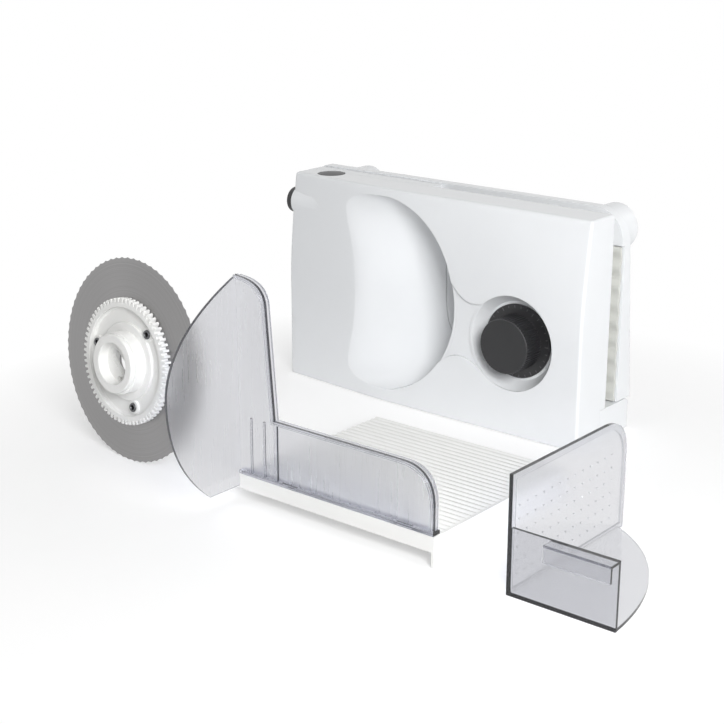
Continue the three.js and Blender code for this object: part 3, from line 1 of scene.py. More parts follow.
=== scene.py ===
"""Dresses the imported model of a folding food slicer: fine pieces, finishes and a plain studio."""

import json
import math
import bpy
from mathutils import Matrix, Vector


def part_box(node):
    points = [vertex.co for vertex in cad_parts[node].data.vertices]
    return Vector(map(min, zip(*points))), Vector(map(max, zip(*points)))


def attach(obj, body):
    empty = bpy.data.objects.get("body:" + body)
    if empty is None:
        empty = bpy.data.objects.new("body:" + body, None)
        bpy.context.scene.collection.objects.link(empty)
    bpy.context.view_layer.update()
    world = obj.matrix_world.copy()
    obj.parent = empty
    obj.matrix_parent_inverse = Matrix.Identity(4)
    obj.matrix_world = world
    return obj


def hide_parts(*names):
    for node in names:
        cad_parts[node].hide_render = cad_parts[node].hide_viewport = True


bl_info = {
    "name": "Folding Slicer",
    "version": (1, 0, 0),
    "blender": (4, 5, 0),
    "location": "3D View > Sidebar > Slicer",
    "description": "Builds the pieces, finishes and studio of a folding food slicer shown taken apart",
    "category": "Object",
}

import bmesh
import bpy
from bpy.props import FloatProperty, FloatVectorProperty, IntProperty, PointerProperty
from mathutils import Matrix, Vector

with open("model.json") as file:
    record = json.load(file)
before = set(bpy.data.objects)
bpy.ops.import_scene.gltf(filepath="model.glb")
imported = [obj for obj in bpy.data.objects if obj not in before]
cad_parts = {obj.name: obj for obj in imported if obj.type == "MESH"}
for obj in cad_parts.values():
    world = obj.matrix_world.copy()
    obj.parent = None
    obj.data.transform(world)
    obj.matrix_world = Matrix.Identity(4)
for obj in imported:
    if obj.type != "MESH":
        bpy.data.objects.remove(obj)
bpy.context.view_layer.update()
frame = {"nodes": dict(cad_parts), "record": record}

MM = 0.001


def linear(code):
    """A colour written as sRGB hex, turned to the linear values that shaders use."""
    shares = [int(code[k : k + 2], 16) / 255 for k in (1, 3, 5)]
    return tuple(c / 12.92 if c <= 0.04045 else ((c + 0.055) / 1.055) ** 2.4 for c in shares)


def span(node):
    """Lowest and highest corner of a node of the frame, in millimetres."""
    low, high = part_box(node)
    return low / MM, high / MM


# Housing. Sizes are in millimetres down to the lamps.
SHELL_LOW, SHELL_HIGH = span("front_shell")
HOUSING_LEFT = SHELL_LOW.x
HOUSING_RIGHT = SHELL_HIGH.x
HOUSING_FRONT = SHELL_LOW.y
HOUSING_TOP = SHELL_HIGH.z
HOUSING_LIFT = SHELL_LOW.z
SEAM = SHELL_HIGH.y
REAR_FACE = span("rear_shell")[1].y
GAP = 0.3
SLIP = 0.6
OVERRUN = 2
WALL = 2.6
LEAN_START = 100
LEAN_DEPTH = 9.7
LEAN_POWER = 1.5
BEND_X = -49
BEND_SOFT = 20
BEND_SLOPE = 0.088
CORNER_RADIUS = 2.5
RIM_RADIUS = 2.5

# Slice bowl and the slit beside the blade
BLADE_RADIUS = 85
BLADE_THICKNESS = 1.5
BLADE_SEAT_X = -55
BLADE_SEAT_Z = 100.5
BLADE_SEAT = (BLADE_SEAT_X, BLADE_SEAT_Z)
BOWL_RADIUS = 90
BOWL_MIDDLE = 101
BOWL_HALF_HEIGHT = 89
BOWL_WAIST_SHARE = 0.28
BOWL_SWELL_SHARE = 0.2
BOWL_HIGH_SHARE = 0.14
BOWL_FALL_POWER = 0.75
BOWL_START_POWER = 1.4
BOWL_END_POWER = 10
BOWL_TOOL_FRONT = HOUSING_FRONT - 10
LIP_RADIUS = 86
SLIT_HALF_ANGLE = 50
NECK_TOP = 180
COVER_FRONT = -2.3

# Keyhole step and knob well
KNOB_X = 96
KNOB_Z = 82
KNOB_AXIS = (KNOB_X, KNOB_Z)
KEYHOLE_DEPTH = 2.6
KEYHOLE_RADIUS = 42
KEYHOLE_MEET = 68
WELL_RADIUS = 35
WELL_FLOOR = -28
NECK_LEFT = 15
NECK_HIGH_LEFT = 150
NECK_HIGH = (55, 110.5)
NECK_HIGH_BEND = 17
NECK_LOW_LEFT = 45
NECK_LOW = (42, 60.5)
NECK_LOW_BEND = 13

# Knob
KNOB_RADIUS = 24.4
KNOB_FACE = span("thickness_knob")[0].y
KNOB_EDGE = 1.2
KNOB_GROOVE_POWER = 0.7
KNOB_RIB_STEPS = 10
DIAL_RADIUS = 32.7
DIAL_THICKNESS = 3
DIAL_ROUND = 0.6
DIAL_BACK = WELL_FLOOR - GAP
KNOB_SHAFT_RADIUS = 5
KNOB_SHAFT_END = -9
DIAL_MARKS = 30
DIAL_LONG_MARK_EVERY = 5
DIAL_MARK_LENGTH = 3.2
DIAL_SHORT_SHARE = 0.6
DIAL_MARK_WIDTH = 0.6
DIAL_MARK_RISE = 0.15
DIAL_MARK_INSET = 1

# Buttons, gland and fairing
TOP_BUTTON_AXIS = (-134, -7)
TOP_BUTTON_RADIUS = 12.9
TOP_BUTTON_TOP = span("top_button")[1].z
TOP_BUTTON_CROWN_SHARE = 0.92
TOP_BUTTON_DOME = 0.7
TOP_BUTTON_UNDER = TOP_BUTTON_TOP - 8.5
TOP_STEM_END = span("top_button")[0].z
STEM_RADIUS = 4
SIDE_BUTTON_AXIS = (-16, 169)
SIDE_BUTTON_RADIUS = 12
SIDE_BUTTON_FACE = span("side_button")[0].x
SIDE_BUTTON_SEAT = -163
SIDE_BUTTON_DISH = 0.5
SIDE_EDGE_DEPTH = 0.2
SIDE_RING_SHARE = 0.72
SIDE_RING = ((-0.8, 0.5), (-0.3, 0.1), (0.3, 0.1), (0.8, 0.6))
SIDE_BORE_END = -160
SIDE_STEM_END = span("side_button")[1].x
SIDE_STEM_RADIUS = 3
BUTTON_ROUND = 1.2
FAIRING_RADIUS = 13.4
FAIRING_LENGTH = 40
FAIRING_TIP = 12.4
FAIRING_BLOCK = -157.4
GLAND_AXIS = (-9, 52)
GLAND_BORE = 3.2
GLAND_RADIUS = 5
GLAND_FLANGE = 7.5
GLAND_FLANGE_DEPTH = 2.2
GLAND_RIBS = 3
GLAND_RIB_HEIGHT = 0.25
GLAND_EDGE_DEPTH = 0.4

# Rear shell
POCKET_RADIUS = 54.5
POCKET_FLOOR = 8
SOCKET_CLEAR = 1.2
SOCKET_FLOOR = -6.45
HUB_BOSS_RADIUS = 32.5
HUB_BOSS_DEPTH = 5.3
HUB_NECK_RADIUS = 26
HUB_NECK_DEPTH = 15.5
HUB_NOSE_RADIUS = 24.3
HUB_NOSE_DEPTH = 19.5
SPINDLE_RADIUS = 5
PINION_AXIS = (-98.589, 60)
PINION_TIP = 9.75
SCREW_HEAD = 3.3
SCREW_HEAD_DEPTH = 2.2
SCREW_PLACES = ((-156, 36), (-156, 184), (-38, 190), (-18, 36))
FOOT_RADIUS = 9
FOOT_DEPTH = 1.8
FOOT_PLACES = ((-140, -20), (140, -20))

# Foot bar and base
HINGE_Y = 36
HINGE_Z = 22
HINGE_AXIS = (HINGE_Y, HINGE_Z)
KNUCKLE_RADIUS = 5.5
KNUCKLE_X = 125
KNUCKLE_WIDTH = 30
HINGE_PIN_RADIUS = 2.5
BAR_FRONT = -5
BAR_TOP = HINGE_Z + KNUCKLE_RADIUS
BASE_INNER = 22
BASE_OUTER_LOW = 44
BASE_OUTER_HIGH = 28
BASE_TOP = span("base_tray")[1].z
BASE_CLEAR = 0.8
BASE_BOTTOM = BAR_TOP + BASE_CLEAR
BASE_CORNER = 28
BASE_CORNER_LEFT = 4
RAIL_BOTTOM = 167
RAIL_FRONT = 18
BASE_WALL = 2.5
BASE_COLUMNS = 4
BASE_ROWS = 3
BASE_RIB = 2
BARREL_X = 138
BARREL_Z = 174.5
BARREL_RADIUS = 20.8
BARREL_WALL = 2.4
PAD_THICKNESS = 2.4

# Stop plate
STOP_FACE = 17.6
STOP_THICKNESS = 2.2
STOP_BOTTOM = 29
STOP_TOP = 166
STOP_RIGHT = 164.5
STOP_CLEAR = 3
WAVE_HEIGHT = 0.8
WAVE_PITCH = 15.8
GUIDE_RADIUS = 3
GUIDE_BOSS_RADIUS = 5.8
GUIDE_BOSS_DEPTH = 2.2
GUIDE_PLACES = ((62, 150), (136, 38))
PEG_RADIUS = 1.8
PEG_PLACE = -6.5
ARM_WIDTH = 10
ARM_THICKNESS = 5
CAM_RADIUS = 20
CAM_CORE_RADIUS = 14.5

# Carriage
CARRIAGE_LOW, CARRIAGE_HIGH = span("carriage_plate")
CARRIAGE_LEFT = CARRIAGE_LOW.x
CARRIAGE_RIGHT = CARRIAGE_HIGH.x
CARRIAGE_FRONT = CARRIAGE_LOW.y
CARRIAGE_BACK = CARRIAGE_HIGH.y
CARRIAGE_TOP = CARRIAGE_HIGH.z
CARRIAGE_PLATE = 2.4
CARRIAGE_MARGIN = 9
CARRIAGE_SKIRT = 12
CARRIAGE_WALL = 2.5
RUNNER_INSET = 32
RUNNER_WIDTH = 6
RUNNER_START = 56
CROSS_RIBS = 4
RIB_POWER = 0.8
TAB_WIDTH = 14
TAB_THICKNESS = 2
TAB_DEPTH = 6
TAB_PLACES = (70, 180)

# Guard
GUARD_THICKNESS = 2.4
GUARD_Y = -294
GUARD_FLANGE = 3
GUARD_FLANGE_DEPTH = 8
GUARD_LOW_TOP = 74
GUARD_CORNER = 28
GUARD_RIM = 2.8
GUARD_RIM_DEPTH = 6
GUARD_TALL_TOP = 181
GUARD_TALL_FOOT = 57
GUARD_TALL_SHOULDER = 50
GUARD_TALL_RISE = 160
GUARD_FOLD_X = 18.6
GUARD_RIGHT = 207
SHIELD_REACH = 75
SHIELD_MIDDLE = 98
SHIELD_FOOT = 13
SHIELD_FOOT_REACH = 34
FIN_PLACES = (33, 46.5, 58.5)
FIN_WIDTHS = (1.2, 1.2, 3)
FIN_DEPTH = 1.6

# Remnant holder
HOLDER_LEFT = 270.4
HOLDER_FRONT = -299
PLATE_LENGTH = 149.5
PLATE_HEIGHT = 88
PLATE_THICKNESS = 3
PLATE_CORNER = 30
PLATE_RIM = 4.5
PLATE_RIM_STEP = 1
WALL_LENGTH = 84.6
WALL_HEIGHT = 50
WALL_THICKNESS = 2.4
FLOOR_THICKNESS = 2.4
FLOOR_LENGTH = 144
FLOOR_EDGE_NEAR = (3.5, 67)
FLOOR_EDGE_FAR = (50, 25)
HOOK_FROM = 34
HOOK_REACH = 10
HOOK_DROP = 12.5
HOOK_WALL = 2
SPIKE_RADIUS = 0.9
SPIKE_LENGTH = 1.6
SPIKE_PITCH = 10
SPIKE_MARGIN = 12
HOLDER_ETCH = 0.45
HOLDER_ETCH_START = FLOOR_THICKNESS + 1

# Faces of the clear pieces that count as etched panels: how square to an axis, and how near
PANEL_SQUARE = 0.99
PANEL_NEAR = 0.1

# Blade, gear and hub, where the blade stands
BLADE_STAND = (-112.6, -285.3, 84.73)
BLADE_TILT = 5.1
BLADE_YAW = -3.1
GROUND_WIDTH = 7
EDGE_THICKNESS = 0.3
GEAR_MODULE = 1.5
GEAR_TEETH = 68
GEAR_TOOTH_DEPTH = 1.9
GEAR_DEPTH = 7.5
GEAR_RIM_WIDTH = 6
GEAR_WEB_DEPTH = 3
GEAR_CHAMFER = 0.4
GEAR_FILLET = 1.2
GEAR_RIM_CHAMFER = 0.5
HUB_ROUND = 0.8
HUB_RECESS_RADIUS = 17
HUB_RECESS_CHAMFER = 0.6
HUB_RECESS_DEPTH = 9
HUB_BORE = 12.5
HUB_PLATE = 4
HUB_SLOT_WIDTH = 10
HUB_SLOT_LENGTH = 26
HUB_SLOT_TURN = -38
TRACK_INSET = 1.5
TRACK_WIDTH = 3.4
TRACK_START = HUB_SLOT_TURN - 62
TRACK_END = HUB_SLOT_TURN - 6
TRACK_FLOOR = 1
RIVET_CIRCLE = 38
RIVET_BOSS_RADIUS = 6
RIVET_BOSS_DEPTH = 5
RIVET_BOSS_ROUND = 0.6
RIVET_RADIUS = 2.6
RIVET_HEAD_RADIUS = 3.8
RIVET_BORE = RIVET_RADIUS * 0.8
RIVET_HEAD_DEPTH = 1
RIVET_ROLL_SHARE = 0.4
RIVETS = 3
RIVET_TURN_SHARE = 0.13

# Camera, from the photograph's perspective
CAMERA_PLACE = (780.1, -1068.1, 458.6)
CAMERA_AZIMUTH = 39.568
CAMERA_PITCH = 17.743
CAMERA_LENS = 74.7
SENSOR = 36

# Lamps: name, setting that holds its power, place, target and size, in metres
LAMPS = (
    ("key lamp", "key", (1.15, -1.0, 0.78), (0.05, -0.08, 0.08), 0.6),
    ("fill lamp", "fill", (-1.4, -1.1, 0.9), (-0.05, -0.1, 0.1), 1.2),
    ("top lamp", "top", (-0.2, 0.1, 1.8), (0.05, -0.1, 0.0), 1.4),
    ("back lamp", "back", (0.25, 1.85, 0.42), (0.0, 0.0, 0.1), 1.0),
)

# Paper floor, in metres: its shading fades between two distances from the middle of the shown pieces
PAPER_REACH = 6
PAPER_MIDDLE = (0.08, -0.17, 0)
PAPER_FADE = (0.26, 0.48)
PAPER_GLOW = 0.16
PAPER_DROP = 0.1 * MM

# Sides and steps of round shapes
FINE = 96
MIDDLING = 48
SPIKE_SIDES = 12
RIVET_SIDES = 32
EDGE_STEPS = 5
FILLET_STEPS = 3
ROLL_STEPS = 4
DOME_STEPS = 8
CORNER_STEPS = 20
TRACK_STEPS = 24
SHIELD_STEPS = 28
FLOOR_EDGE_STEPS = 48

# Steps in a wave or rib
WAVE_STEPS = 14
RIB_STEPS = 14
SCALLOP_STEPS = 12
GLAND_RIB_STEPS = 8

# Reach of a noise's values that a shade or gloss is spread over, and full white
SOFT_NOISE = (0.3, 0.7)
MARKS_NOISE = (0.25, 0.75)
RINGS_NOISE = (0.2, 0.8)
WHITE = (1, 1, 1, 1)


# Meshes

def mesh_from(name, points, faces):
    """A mesh object from points in millimetres, with all faces turned outwards."""
    mesh = bpy.data.meshes.new(name)
    mesh.from_pydata([Vector(point) * MM for point in points], [], faces)
    edit = bmesh.new()
    edit.from_mesh(mesh)
    bmesh.ops.recalc_face_normals(edit, faces=edit.faces)
    edit.to_mesh(mesh)
    edit.free()
    piece = bpy.data.objects.new(name, mesh)
    bpy.context.scene.collection.objects.link(piece)
    return piece


def place_on(axis, across, along):
    """A point from two places across an axis and one along it. The first two are in XYZ order."""
    a, b = across
    return {"x": (along, a, b), "y": (a, along, b), "z": (a, b, along)}[axis]


def loft(name, rings, closed=False):
    """A solid through rings of points, capped at both ends, or joined into a closed band."""
    count = len(rings[0])
    points = [point for ring in rings for point in ring]
    faces = []
    for row in range(len(rings) if closed else len(rings) - 1):
        near = row * count
        far = (row + 1) % len(rings) * count
        for k in range(count):
            following = (k + 1) % count
            faces.append((near + k, near + following, far + following, far + k))
    if not closed:
        faces.append(tuple(range(count)))
        faces.append(tuple(len(points) - count + k for k in range(count)))
    return mesh_from(name, points, faces)


def turned(name, axis, profile, across, sides=MIDDLING):
    """A turned solid. Each point of the profile is a radius and a place along the axis."""
    points = []
    rows = []
    for radius, along in profile:
        if radius == 0:
            rows.append([len(points)])
            points.append(place_on(axis, across, along))
            continue
        rows.append(list(range(len(points), len(points) + sides)))
        for k in range(sides):
            angle = 2 * math.pi * k / sides
            spot = (across[0] + radius * math.cos(angle), across[1] + radius * math.sin(angle))
            points.append(place_on(axis, spot, along))
    faces = []
    pairs = list(zip(rows, rows[1:]))
    if len(rows[0]) > 1:
        pairs.append((rows[-1], rows[0]))
    for near, far in pairs:
        for k in range(sides):
            following = (k + 1) % sides
            corners = [near[k % len(near)], near[following % len(near)]]
            corners += [far[following % len(far)], far[k % len(far)]]
            corner_set = list(dict.fromkeys(corners))
            if len(corner_set) > 2:
                faces.append(tuple(corner_set))
    return mesh_from(name, points, faces)


def rod(name, axis, radius, start, end, across, sides=MIDDLING):
    """A solid cylinder along an axis."""
    return turned(name, axis, [(0, start), (radius, start), (radius, end), (0, end)], across, sides)


def slab(name, axis, outline, start, end):
    """An outline drawn across an axis, drawn out along it."""
    rings = [[place_on(axis, spot, along) for spot in outline] for along in (start, end)]
    return loft(name, rings)


def box(name, x0, x1, y0, y1, z0, z1):
    """A box between two places along each axis."""
    return slab(name, "z", [(x0, y0), (x1, y0), (x1, y1), (x0, y1)], z0, z1)


def between(name, near, far):
    """A solid between two grids of points that face each other."""
    rows, columns = len(near), len(near[0])
    half = rows * columns
    faces = []
    for i in range(rows - 1):
        for j in range(columns - 1):
            a = i * columns + j
            quad = (a, a + 1, a + columns + 1, a + columns)
            faces.append(quad)
            faces.append(tuple(half + k for k in reversed(quad)))
    edge = list(range(columns))
    edge += [i * columns + columns - 1 for i in range(1, rows)]
    edge += [(rows - 1) * columns + j for j in range(columns - 2, -1, -1)]
    edge += [i * columns for i in range(rows - 2, 0, -1)]
    for a, b in zip(edge, edge[1:] + edge[:1]):
        faces.append((a, b, half + b, half + a))
    return mesh_from(name, [p for row in near + far for p in row], faces)


def quarter(steps):
    """Angles of a quarter turn in even steps, both ends included."""
    return [k / steps * math.pi / 2 for k in range(steps + 1)]


def arc(centre, radius, start, end, steps):
    """Points on an arc, angles in degrees, both ends included."""
    spots = []
    for k in range(steps + 1):
        angle = math.radians(start + (end - start) * k / steps)
        spots.append((centre[0] + radius * math.cos(angle), centre[1] + radius * math.sin(angle)))
    return spots


def bend(start, handle, end, steps=16):
    """Points on a quadratic curve, its start left out."""
    spots = []
    for k in range(1, steps + 1):
        t = k / steps
        spots.append(tuple(
            (1 - t) ** 2 * a + 2 * t * (1 - t) * h + t ** 2 * b for a, h, b in zip(start, handle, end)
        ))
    return spots


def settle(piece):
    """Make the modifiers of a piece part of its mesh."""
    bpy.context.view_layer.update()
    depsgraph = bpy.context.evaluated_depsgraph_get()
    settled = bpy.data.meshes.new_from_object(piece.evaluated_get(depsgraph))
    piece.modifiers.clear()
    bare = piece.data
    piece.data = settled
    bpy.data.meshes.remove(bare)


def carve(piece, operation, tools):
    """Join other solids to a piece, or cut or keep it by them, and take them away."""
    drawer = bpy.data.collections.new("tools")
    for tool in tools:
        drawer.objects.link(tool)
    change = piece.modifiers.new("carve", "BOOLEAN")
    change.operation = operation
    change.operand_type = "COLLECTION"
    change.collection = drawer
    change.solver = "EXACT"
    settle(piece)
    for tool in tools:
        bare = tool.data
        bpy.data.objects.remove(tool)
        bpy.data.meshes.remove(bare)
    bpy.data.collections.remove(drawer)
    if not piece.data.polygons:
        raise RuntimeError(f"nothing is left of {piece.name}")
    return piece


def join(piece, *tools):
    """Join solids to a piece."""
    return carve(piece, "UNION", tools)


def cut(piece, *tools):
    """Cut solids from a piece."""
    return carve(piece, "DIFFERENCE", tools)


def keep(piece, tool):
    """Keep what a piece has in common with a solid."""
    return carve(piece, "INTERSECT", [tool])


def smooth(piece, angle=32):
    """Smooth shading with sharp edges where faces meet at more than the angle."""
    piece.data.shade_smooth()
    piece.data.set_sharp_from_angle(angle=math.radians(angle))
    even = piece.modifiers.new("even normals", "WEIGHTED_NORMAL")
    even.keep_sharp = True
    return piece


def finish_piece(piece, material, body, nodes, angle=32):
    """Shade a piece, give it its finish, and let it ride in place of its CAD nodes."""
    smooth(piece, angle)
    piece.data.materials.clear()
    piece.data.materials.append(material)
    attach(piece, body)
    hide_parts(*nodes)
    return piece


# Materials

def add_node(tree, kind, settings=(), inputs=(), links=()):
    """Add a node with its settings, the values on its sockets, and links into its sockets."""
    node = tree.nodes.new(kind)
    for key, value in dict(settings).items():
        setattr(node, key, value)
    for key, value in dict(inputs).items():
        node.inputs[key].default_value = value
    for key, source in dict(links).items():
        tree.links.new(source, node.inputs[key])
    return node


def new_material(name):
    """An empty material with its output node."""
    material = bpy.data.materials.new(name)
    material.use_nodes = True
    tree = material.node_tree
    tree.nodes.clear()
    return material, tree, add_node(tree, "ShaderNodeOutputMaterial")


def noise(tree, place, pitch, detail, roughness=0.5):
    """A noise texture. Its pitch is in millimetres."""
    return add_node(
        tree, "ShaderNodeTexNoise",
        inputs={"Scale": 1 / (pitch * MM), "Detail": detail, "Roughness": roughness},
        links={"Vector": place},
    ).outputs["Fac"]


def spread(tree, source, taken, given):
    """A value taken from one range and given over another."""
    return add_node(
        tree, "ShaderNodeMapRange",
        inputs={"From Min": taken[0], "From Max": taken[1], "To Min": given[0], "To Max": given[1]},
        links={"Value": source},
    ).outputs["Result"]


def tinted(tree, colour, shade):
    """A colour darkened by a shade."""
    return add_node(
        tree, "ShaderNodeMix", settings={"data_type": "RGBA", "blend_type": "MULTIPLY"},
        inputs={"Factor": 1, "A": (*colour, 1)},
        links={"B": shade},
    ).outputs["Result"]


def larger(tree, first, second):
    """The larger of two values."""
    return add_node(
        tree, "ShaderNodeMath", settings={"operation": "MAXIMUM"}, links={0: first, 1: second},
    ).outputs["Value"]


def blend(tree, share, first, second):
    """The first shader, and by its share the second."""
    return add_node(
        tree, "ShaderNodeMixShader", links={"Fac": share, 1: first, 2: second},
    ).outputs["Shader"]


def moulded_plastic(name, colour, roughness, ior, grain, grain_depth, flow_shade, edge=0.5):
    """Injection-moulded plastic. The mould's surface gives a grain, and the melt's flow a faint
    unevenness in gloss and shade. The grain is the mould texture's pitch in millimetres."""
    material, tree, output = new_material(name)
    place = add_node(tree, "ShaderNodeTexCoord").outputs["Object"]
    flow = noise(tree, place, pitch=45, detail=3)
    texture = noise(tree, place, grain, detail=2, roughness=0.6)
    rounded = add_node(tree, "ShaderNodeBevel", settings={"samples": 4}, inputs={"Radius": edge * MM})
    bump = add_node(
        tree, "ShaderNodeBump", inputs={"Strength": 1, "Distance": grain_depth * MM},
        links={"Height": texture, "Normal": rounded.outputs["Normal"]},
    )
    shader = add_node(
        tree, "ShaderNodeBsdfPrincipled",
        inputs={"IOR": ior},
        links={
            "Base Color": tinted(tree, colour, spread(tree, flow, SOFT_NOISE, (1 - flow_shade, 1))),
            "Roughness": spread(tree, flow, SOFT_NOISE, (roughness * 0.9, roughness * 1.15)),
            "Normal": bump.outputs["Normal"],
        },
    )
    tree.links.new(shader.outputs["BSDF"], output.inputs["Surface"])
    return material


def metal(name, colour, roughness, grain, shade_share, anisotropy=0.0, stretch=(1, 1, 1)):
    """Bare metal, with the shade and gloss of its rolling, turning or brushing marks.
    The grain is the marks' pitch in millimetres, and stretch draws them out along an axis."""
    material, tree, output = new_material(name)
    place = add_node(tree, "ShaderNodeTexCoord").outputs["Object"]
    drawn = add_node(tree, "ShaderNodeMapping", inputs={"Scale": stretch}, links={"Vector": place})
    marks = noise(tree, drawn.outputs["Vector"], grain, detail=4, roughness=0.6)
    shader = add_node(
        tree, "ShaderNodeBsdfPrincipled",
        inputs={"Metallic": 1, "Anisotropic": anisotropy},
        links={
            "Base Color": tinted(tree, colour, spread(tree, marks, MARKS_NOISE, (1 - shade_share, 1))),
            "Roughness": spread(tree, marks, MARKS_NOISE, (roughness * 0.8, roughness * 1.25)),
        },
    )
    tree.links.new(shader.outputs["BSDF"], output.inputs["Surface"])
    return material


def brushed_disc_steel(colour, pitch):
    """Stainless knife steel, ground while it turns. Fine rings catch the light in two soft fans.
    Its object's Z axis is the disc's own axis. The rings are drawn coarser than a 240 grit leaves
    them, so that they show."""
    material, tree, output = new_material("ground_stainless_steel")
    place = add_node(tree, "ShaderNodeTexCoord").outputs["Object"]
    parts = add_node(tree, "ShaderNodeSeparateXYZ", links={"Vector": place})
    flat = add_node(
        tree, "ShaderNodeCombineXYZ", links={"X": parts.outputs["X"], "Y": parts.outputs["Y"]},
    )
    radius = add_node(
        tree, "ShaderNodeVectorMath", settings={"operation": "LENGTH"},
        links={"Vector": flat.outputs["Vector"]},
    )
    rings = add_node(
        tree, "ShaderNodeTexNoise", settings={"noise_dimensions": "1D"},
        inputs={"Scale": 1 / (pitch * MM), "Detail": 3, "Roughness": 0.7},
        links={"W": radius.outputs["Value"]},
    ).outputs["Fac"]
    bump = add_node(
        tree, "ShaderNodeBump", inputs={"Strength": 0.35, "Distance": 0.02 * MM},
        links={"Height": rings},
    )
    around = add_node(tree, "ShaderNodeTangent", settings={"direction_type": "RADIAL", "axis": "Z"})
    shader = add_node(
        tree, "ShaderNodeBsdfPrincipled",
        inputs={"Metallic": 1, "Anisotropic": 0.6},
        links={
            "Base Color": tinted(tree, colour, spread(tree, rings, RINGS_NOISE, (0.8, 1))),
            "Roughness": spread(tree, rings, RINGS_NOISE, (0.36, 0.48)),
            "Normal": bump.outputs["Normal"],
            "Tangent": around.outputs["Tangent"],
        },
    )
    tree.links.new(shader.outputs["BSDF"], output.inputs["Surface"])
    return material


def smoke_styrene(name, colour, density, frost):
    """Clear styrene tinted smoke blue. Its flat panels have a fine upright grain that blurs what is
    behind them, and its rims are polished. Light that runs along a sheet leaves it navy at the
    edges. The attribute 'panel' is the share of etching on a face."""
    material, tree, output = new_material(name)
    place = add_node(tree, "ShaderNodeTexCoord").outputs["Object"]
    panel = add_node(tree, "ShaderNodeAttribute", settings={"attribute_name": "panel"})
    upright = add_node(
        tree, "ShaderNodeMapping", inputs={"Scale": (1, 1, 0.05)}, links={"Vector": place},
    )
    etched = noise(tree, upright.outputs["Vector"], pitch=2.5, detail=2)
    roughness = add_node(
        tree, "ShaderNodeMix", settings={"data_type": "FLOAT"}, inputs={"A": 0.04},
        links={
            "Factor": panel.outputs["Fac"],
            "B": spread(tree, etched, SOFT_NOISE, (frost * 0.93, frost * 1.07)),
        },
    )
    rounded = add_node(tree, "ShaderNodeBevel", settings={"samples": 4}, inputs={"Radius": 0.3 * MM})
    shader = add_node(
        tree, "ShaderNodeBsdfPrincipled",
        inputs={"Base Color": WHITE, "IOR": 1.57, "Transmission Weight": 1},
        links={"Roughness": roughness.outputs["Result"], "Normal": rounded.outputs["Normal"]},
    )
    light = add_node(tree, "ShaderNodeLightPath")
    see_through = add_node(tree, "ShaderNodeBsdfTransparent", inputs={"Color": (0.82, 0.83, 0.87, 1)})
    surface = blend(
        tree, light.outputs["Is Shadow Ray"], shader.outputs["BSDF"], see_through.outputs["BSDF"],
    )
    tree.links.new(surface, output.inputs["Surface"])
    inside = add_node(
        tree, "ShaderNodeVolumeAbsorption", inputs={"Color": (*colour, 1), "Density": density},
    )
    tree.links.new(inside.outputs["Volume"], output.inputs["Volume"])
    return material


def finishes():
    """The slicer's finishes, made once and then shared, by the record's names for them."""
    made = getattr(finishes, "made", None)
    if made:
        return made
    settings = bpy.context.scene.slicer
    colours = settings.colours
    clear = settings.clear
    made = {
        # ABS from a polished mould: a glassy white with a very faint orange peel
        "white_shell": moulded_plastic(
            "polished_white_abs", colours.shell, roughness=0.2, ior=1.54, grain=6,
            grain_depth=0.012, flow_shade=0.015, edge=0.6),
        # Polypropylene from a spark-eroded mould: white, with a soft satin sheen
        "white_satin": moulded_plastic(
            "satin_white_polypropylene", colours.satin, roughness=0.42, ior=1.49, grain=0.8,
            grain_depth=0.012, flow_shade=0.02),
        # The same plastic, its white greyed as painted shade for the slot behind the housing it sits in,
        # and a duller sheen
        "stop_shaded_satin": moulded_plastic(
            "chalk_filled_polypropylene", linear("#D3D4CF"), roughness=0.5, ior=1.49, grain=0.8,
            grain_depth=0.012, flow_shade=0.03),
        # Black ABS from a finely textured mould: charcoal, with broad dull highlights
        "black_plastic": moulded_plastic(
            "textured_black_abs", colours.black, roughness=0.42, ior=1.54, grain=0.7,
            grain_depth=0.02, flow_shade=0.12, edge=0.4),
        # Clear styrene tinted smoke blue: blurred through its panels, navy along its edges
        "clear_plastic": smoke_styrene(
            "smoke_blue_styrene", colours.clear, clear.density, clear.frost),
        # Stainless knife steel ground in rings: mid grey, with two soft fans of light
        "blade_steel": brushed_disc_steel(colours.blade, settings.blade.ring_pitch / MM),
        # Drawn steel tube, rolled over cold and left oiled: dark grey, with fine drawing marks
        "rivet_steel": metal(
            "rolled_rivet_steel", linear("#6B6C6E"), roughness=0.4, grain=0.6, shade_share=0.15),
        # Turned and zinc-plated steel: bright, with fine turning marks
        "bright_steel": metal(
            "zinc_plated_steel", colours.bright, roughness=0.3, grain=0.6, shade_share=0.1),
        # Deep-drawn steel sheet: grey, with long drawing marks
        "motor_steel": metal(
            "drawn_steel_sheet", linear("#8B8F94"), roughness=0.4, grain=2, shade_share=0.15,
            anisotropy=0.3, stretch=(1, 1, 0.1)),
        # Pressed ferrite: dull, near-black and slightly grainy
        "magnet_black": moulded_plastic(
            "pressed_ferrite", linear("#35353A"), roughness=0.7, ior=1.6, grain=0.5,
            grain_depth=0.03, flow_shade=0.2),
        # Enamelled copper wire wound in rows: warm and glossy, with lines along the wires
        "copper": metal(
            "enamelled_copper_wire", linear("#B87333"), roughness=0.35, grain=0.5, shade_share=0.25,
            anisotropy=0.4, stretch=(1, 1, 0.15)),
        # Sintered bronze: oil-dark between its grains
        "bronze": metal(
            "sintered_bronze", linear("#B08D57"), roughness=0.45, grain=0.4, shade_share=0.25),
        # Glass-fibre board under green solder mask: glossy over a faint weave
        "board_green": moulded_plastic(
            "solder_masked_glass_fibre", linear("#2F6B46"), roughness=0.3, ior=1.5, grain=0.8,
            grain_depth=0.02, flow_shade=0.1),
        # Moulded nitrile rubber: dull dark grey
        "dark_rubber": moulded_plastic(
            "moulded_nitrile_rubber", colours.rubber, roughness=0.75, ior=1.52, grain=0.6,
            grain_depth=0.03, flow_shade=0.15),
    }
    finishes.made = made
    return made


# Housing shapes

